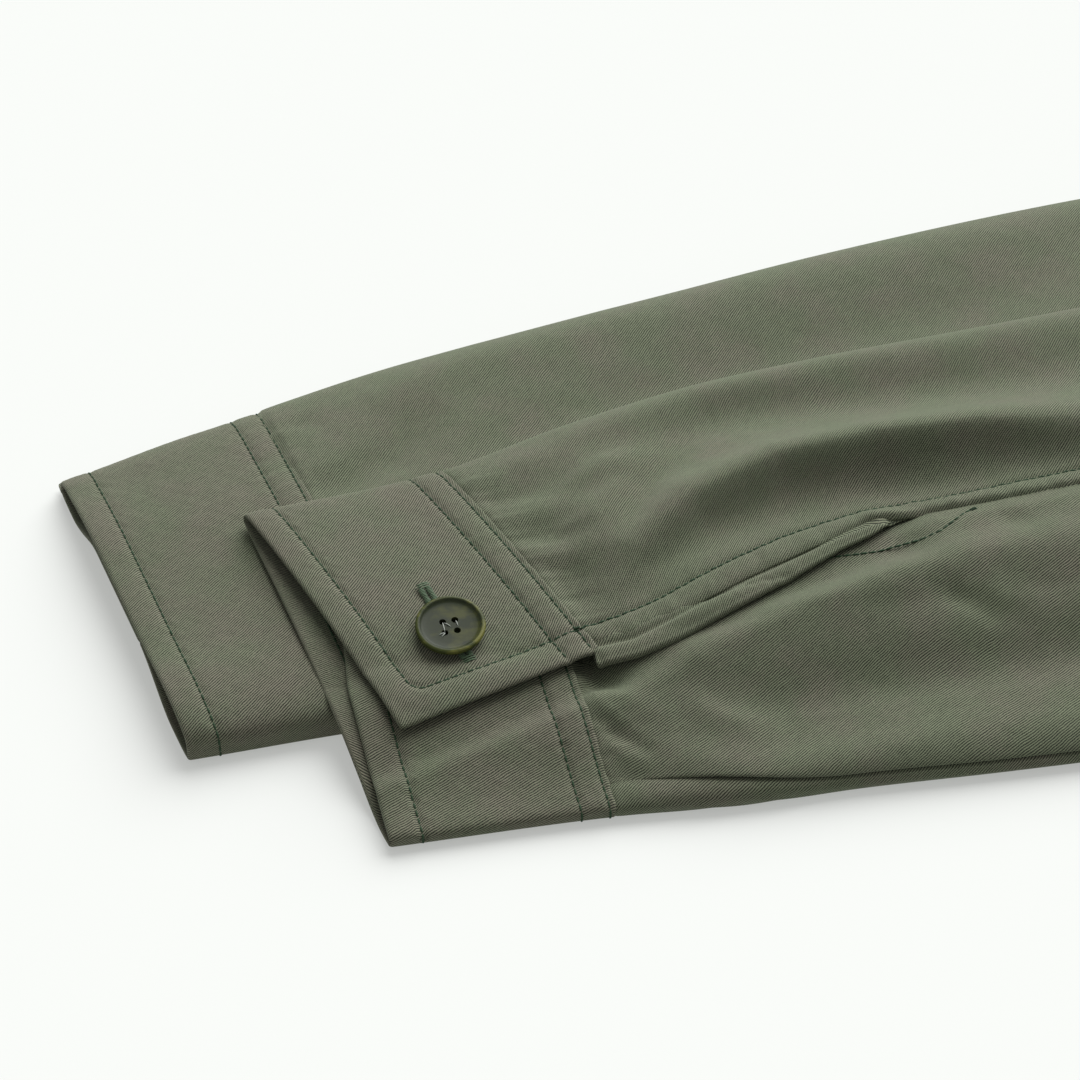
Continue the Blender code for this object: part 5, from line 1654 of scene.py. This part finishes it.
def band_path(left_x, right_x, step):
    """Round the four layers of a band: places x, z, half_x and is_front."""
    right_back, right_front, left_front, left_back = BAND_LEVELS
    path = []

    def straight(x0, x1, z, is_front, sign):
        for x in np.linspace(x0, x1, max(2, round(abs(x1 - x0) / step) + 1)):
            path.append((x, z, x + sign * FOLD_OFFSET, is_front))

    def bend(x, low, high, side, start_low, half_x, is_front, drift=0.0):
        for angle in (TURN_STEPS if start_low else TURN_STEPS[::-1]):
            a = math.radians(angle)
            reach = side * math.cos(a) * (high - low) / 2
            path.append((x + reach, (low + high) / 2 + (high - low) / 2 * math.sin(a),
                         half_x + drift * angle / 90.0, is_front))

    inner, outer, centre_front = BAND_FRONT_TURN, -FOLD_DEPTH, -FOLD_OFFSET
    for x in np.linspace(centre_front + ZIP_WIDTH / 2 + SEAM_GAP, inner, END_COLUMNS):
        path.append((x, right_front, -x - FOLD_OFFSET, True))
    bend(inner, right_front, left_front, 1, True, FOLD_OFFSET, True, -inner)
    straight(inner, left_x, left_front, True, -1)
    bend(left_x, left_front, left_back, -1, True, left_x - FOLD_OFFSET, False)
    straight(left_x, outer, left_back, False, -1)
    bend(outer, right_back, left_back, 1, False, FOLD_OFFSET, False, FOLD_DEPTH)
    straight(outer, right_x, right_back, False, 1)
    bend(right_x, right_back, right_front, -1, True, right_x + FOLD_OFFSET, False)
    straight(right_x, centre_front - ZIP_WIDTH / 2 - SEAM_GAP, right_front, True, 1)
    return path


BAND_ROWS = 40
HEM_STEP = 6.0                    # between columns
COLLAR_STEP = 3.0
BAND_STITCH = 2.0                 # from both edges
BAND_PULL = (0.35, 1.0)
BAND_CROWN = 0.25
ON_TABLE = 3.0                    # below this a band lies flat, without relief
BAND_UP = 10                      # so many columns before the middle it faces up


def make_band(name, left_x, right_x, back_y, front_y, height, step):
    """A doubled band with a row of stitches along both of its edges."""
    x, z, half_x, is_front = (np.array(values) for values in zip(*band_path(left_x, right_x, step)))
    half_x = -np.abs(half_x)
    start = np.where(is_front, front_y(half_x), back_y(half_x))
    shares = np.linspace(0.0, 1.0, BAND_ROWS)[:, None]
    y = start + height * shares
    points = np.stack(np.broadcast_arrays(x, y, z), axis=-1)
    along = running_length(np.stack([x, z], axis=-1)) + 0.0 * y
    up_at = (BAND_ROWS // 2, len(x) // 2 - BAND_UP)
    edge = np.minimum(shares, 1.0 - shares) * height
    relief = sewn(edge - BAND_STITCH, along, 8.0, *BAND_PULL) + BAND_CROWN * arch(edge / BAND_STITCH)
    lift = BAND_CLOTH / 2 + np.where(points[..., 2] < ON_TABLE, 0.0, relief)
    outer = points + grid_normals(points, up_at) * lift[..., None]
    return shell(name, outer, BAND_CLOTH, weave_places(y, along, BODY_WALES), TWILL, up_at)


# ---- zip ---------------------------------------------------------------------------------
ZIP_ENDS = (0.6, 59.4)
ZIP_TOOTH = 1.7
TOOTH_ROOM = (4.0, 0.8)           # from the band's lower and upper edge
TOOTH_SIDE = 0.9
TOOTH_LIFT = 0.1
TOOTH_SIZE = (2.0, 0.72, 1.0)     # half sizes
STOP_AT = 2.0
STOP_SIZE = (3.2, 1.6, 1.2)
BLOCK_LEVELS = ((0.86, -1.0), (1.0, -0.6), (1.0, 0.6), (0.86, 1.0))    # width and height
BLOCK_TURNS = np.radians(np.arange(22.5, 360.0, 45.0))
BLOCK_WIDER = 1.08                # brings the flats of its eight sides out to the size
BLOCK_CAP = ([0, 1, 2, 3], [0, 3, 4, 7], [4, 5, 6, 7])
TAPE_WALL = 0.7
TAPE_EDGES = (0.5, 0.2)           # from the zip's middle, and from its full width
TAPE_CORD = (0.35, 1.2, 0.8)      # height, place and width
TAPE_COLOURS = ((0.020, 0.025, 0.014, 1.0), (0.050, 0.060, 0.036, 1.0))
TAPE_RIBS = 1.1
TAPE_COLUMNS = 12
TAPE_ROWS = 24


def zip_tape_material():
    """A woven tape: fine ribs along the zip."""
    material, tree, shader = new_material("zip_tape", {"Roughness": 0.85})
    rib = tree.nodes.new("ShaderNodeTexWave")
    rib.inputs["Scale"].default_value = TAPE_RIBS
    tree.links.new(weave_vector(tree), rib.inputs["Vector"])
    tree.links.new(mix_colour(tree, rib.outputs["Fac"], *TAPE_COLOURS), shader.inputs["Base Color"])
    return material


def tooth_block(centre, size):
    """Points and quads of a rounded block, eight-sided in plan."""
    plan = np.stack([np.cos(BLOCK_TURNS), np.sin(BLOCK_TURNS)], axis=-1) * BLOCK_WIDER
    rings = [np.column_stack([plan * width, np.full(len(plan), height)])
             for width, height in BLOCK_LEVELS]
    index = np.arange(len(rings) * len(plan)).reshape(len(rings), -1)
    caps = [ring[places] for ring in (index[0, ::-1], index[-1]) for places in BLOCK_CAP]
    return centre + np.concatenate(rings) * size, np.concatenate([joined(index[:-1], index[1:]), caps])


def tape(side):
    """Points and quads of one tape, with a thick edge beside the teeth."""
    inner, outer = TAPE_EDGES
    x = side * np.linspace(inner, ZIP_WIDTH / 2 - outer, TAPE_COLUMNS)
    half = TAPE_WALL / 2 + swell(np.abs(x), *TAPE_CORD)
    y = np.linspace(*ZIP_ENDS, TAPE_ROWS)[:, None]
    faces = [np.stack(np.broadcast_arrays(x - FOLD_OFFSET, y, BAND_LEVELS[1] + way * half), axis=-1)
             for way in (1, -1)]
    low = np.arange(x.size * y.size).reshape(y.size, x.size)
    top, low = low, low + low.size
    quads = [grid_quads(top), grid_quads(low)[:, ::-1], joined(border(top), border(low))]
    return np.concatenate(faces).reshape(-1, 3), np.concatenate(quads)


def make_zip_piece():
    """The closed zip's lower end: two tapes, meshed teeth and a bottom stop."""
    start, end = ZIP_ENDS
    from_start, from_end = TOOTH_ROOM
    level = BAND_LEVELS[1] + TOOTH_LIFT
    parts = []
    for k, y in enumerate(np.arange(start + from_start, end - from_end, ZIP_TOOTH)):
        side = TOOTH_SIDE if k % 2 else -TOOTH_SIDE
        parts.append(tooth_block((side - FOLD_OFFSET, y, level), TOOTH_SIZE))
    parts.append(tooth_block((-FOLD_OFFSET, start + STOP_AT, level), STOP_SIZE))
    parts += [tape(-1.0), tape(1.0)]
    before = np.cumsum([0] + [len(points) for points, _ in parts])
    points = np.concatenate([points for points, _ in parts])
    quads = np.concatenate([quads + count for (_, quads), count in zip(parts, before)])
    piece = mesh_from("zip_end", points, [quads], points[:, :2], zip_tape_material())
    face_outwards(piece)
    return piece


# ---- camera, light and floor ---------------------------------------------------------
CAMERA_AIM = (-0.2501, -0.0889, 0.0)
CAMERA_TURN = math.radians(20.7)
CAMERA_HEIGHT = math.radians(45.0)
CAMERA_AWAY = 1.05
LENS = 117.6
SENSOR = 36.0


def link(name, data):
    thing = bpy.data.objects.new(name, data)
    bpy.context.scene.collection.objects.link(thing)
    return thing


def make_camera():
    data = bpy.data.cameras.new("camera")
    data.lens = LENS
    data.sensor_width = SENSOR
    camera = link("camera", data)
    level = math.cos(CAMERA_HEIGHT) * CAMERA_AWAY
    camera.location = (CAMERA_AIM[0] + level * math.sin(CAMERA_TURN),
                       CAMERA_AIM[1] - level * math.cos(CAMERA_TURN),
                       CAMERA_AIM[2] + math.sin(CAMERA_HEIGHT) * CAMERA_AWAY)
    aim = Vector(CAMERA_AIM) - camera.location
    camera.rotation_euler = aim.to_track_quat("-Z", "Y").to_euler()
    bpy.context.scene.camera = camera


SUN_AZIMUTH = math.radians(4.0)   # from +Y towards +X
SUN_HEIGHT = math.radians(42.0)
SUN_SPREAD = math.radians(60.0)   # a large, soft light
SUN_STRENGTH = 5.1


def make_sun():
    data = bpy.data.lights.new("key", "SUN")
    data.angle = SUN_SPREAD
    data.energy = SUN_STRENGTH
    level = math.cos(SUN_HEIGHT)
    towards = Vector((math.sin(SUN_AZIMUTH) * level, math.cos(SUN_AZIMUTH) * level, math.sin(SUN_HEIGHT)))
    link("key", data).rotation_euler = towards.to_track_quat("Z", "Y").to_euler()


FLOOR_REACH = 6.0
FLOOR_DROP = 0.0004
FLOOR_FINISH = {"Base Color": (0.400, 0.410, 0.397, 1.0), "Emission Color": (0.985, 1.0, 0.975, 1.0),
                "Emission Strength": 0.38, "Roughness": 1.0, "Specular IOR Level": 0.0}
SKY_STRENGTH = 0.37


def make_floor():
    """The plain ground; its emission stands for the photograph's bright exposure."""
    mesh = bpy.data.meshes.new("floor")
    corners = [(x * FLOOR_REACH, y * FLOOR_REACH, -FLOOR_DROP)
               for x, y in ((-1, -1), (1, -1), (1, 1), (-1, 1))]
    mesh.from_pydata(corners, [], [(0, 1, 2, 3)])
    mesh.materials.append(new_material("floor", FLOOR_FINISH)[0])
    link("floor", mesh)


def make_world():
    world = bpy.data.worlds.new("world")
    world.use_nodes = True
    back = world.node_tree.nodes["Background"]
    back.inputs["Color"].default_value = (1.0, 1.0, 1.0, 1.0)
    back.inputs["Strength"].default_value = SKY_STRENGTH
    bpy.context.scene.world = world
    bpy.context.scene.view_settings.view_transform = "Standard"


def add(piece, node):
    """Parents a piece to the root, and hides the node that it replaces, if any."""
    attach(piece, "root")
    if node:
        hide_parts(node)
    return piece


def make_hem_band():
    return make_band("hem_band_cloth", FOLD_OFFSET - BAND_HALF, -FOLD_OFFSET - BAND_HALF,
                     np.zeros_like, np.zeros_like, HEM_BAND, HEM_STEP)


def make_collar():
    neck = SIDE_NECK[0]
    return make_band("collar_cloth", neck + FOLD_OFFSET, neck - FOLD_OFFSET,
                     back_neckline, front_neckline, COLLAR_STAND, COLLAR_STEP)


def build():
    """Makes every piece, from the table up."""
    stitching = add(make_right_cuff_sewing(), None)
    right_cuff = add(make_right_cuff(), "cuff_right")
    right_top, right_under = make_right_sleeve()
    add(right_under, "sleeve_right_under")
    add(right_top, "sleeve_right_top")
    back = make_back_panel()
    right_front = add(make_front("right"), "front_right")
    left_front = add(make_front("left"), "front_left")
    add(back, "back")
    add(make_hem_band(), "hem_band")
    add(make_zip_piece(), "zip")
    add(make_collar(), "collar")
    stitching = add(make_left_sleeve_sewing(), None)
    left_top, left_under = make_left_sleeve()
    add(left_under, "sleeve_left_under")
    add(left_top, "sleeve_left_top")
    add(make_placket(), "placket_left")
    button, *seat = make_button_piece()
    add(button, "button_left")
    sewn_on = [button, add(make_buttonhole(*seat), None), add(make_button_thread(*seat), None),
               add(make_left_cuff_sewing(), None)]
    add(make_left_cuff(), "cuff_left")



make_camera()
make_world()
make_floor()
make_sun()
build()
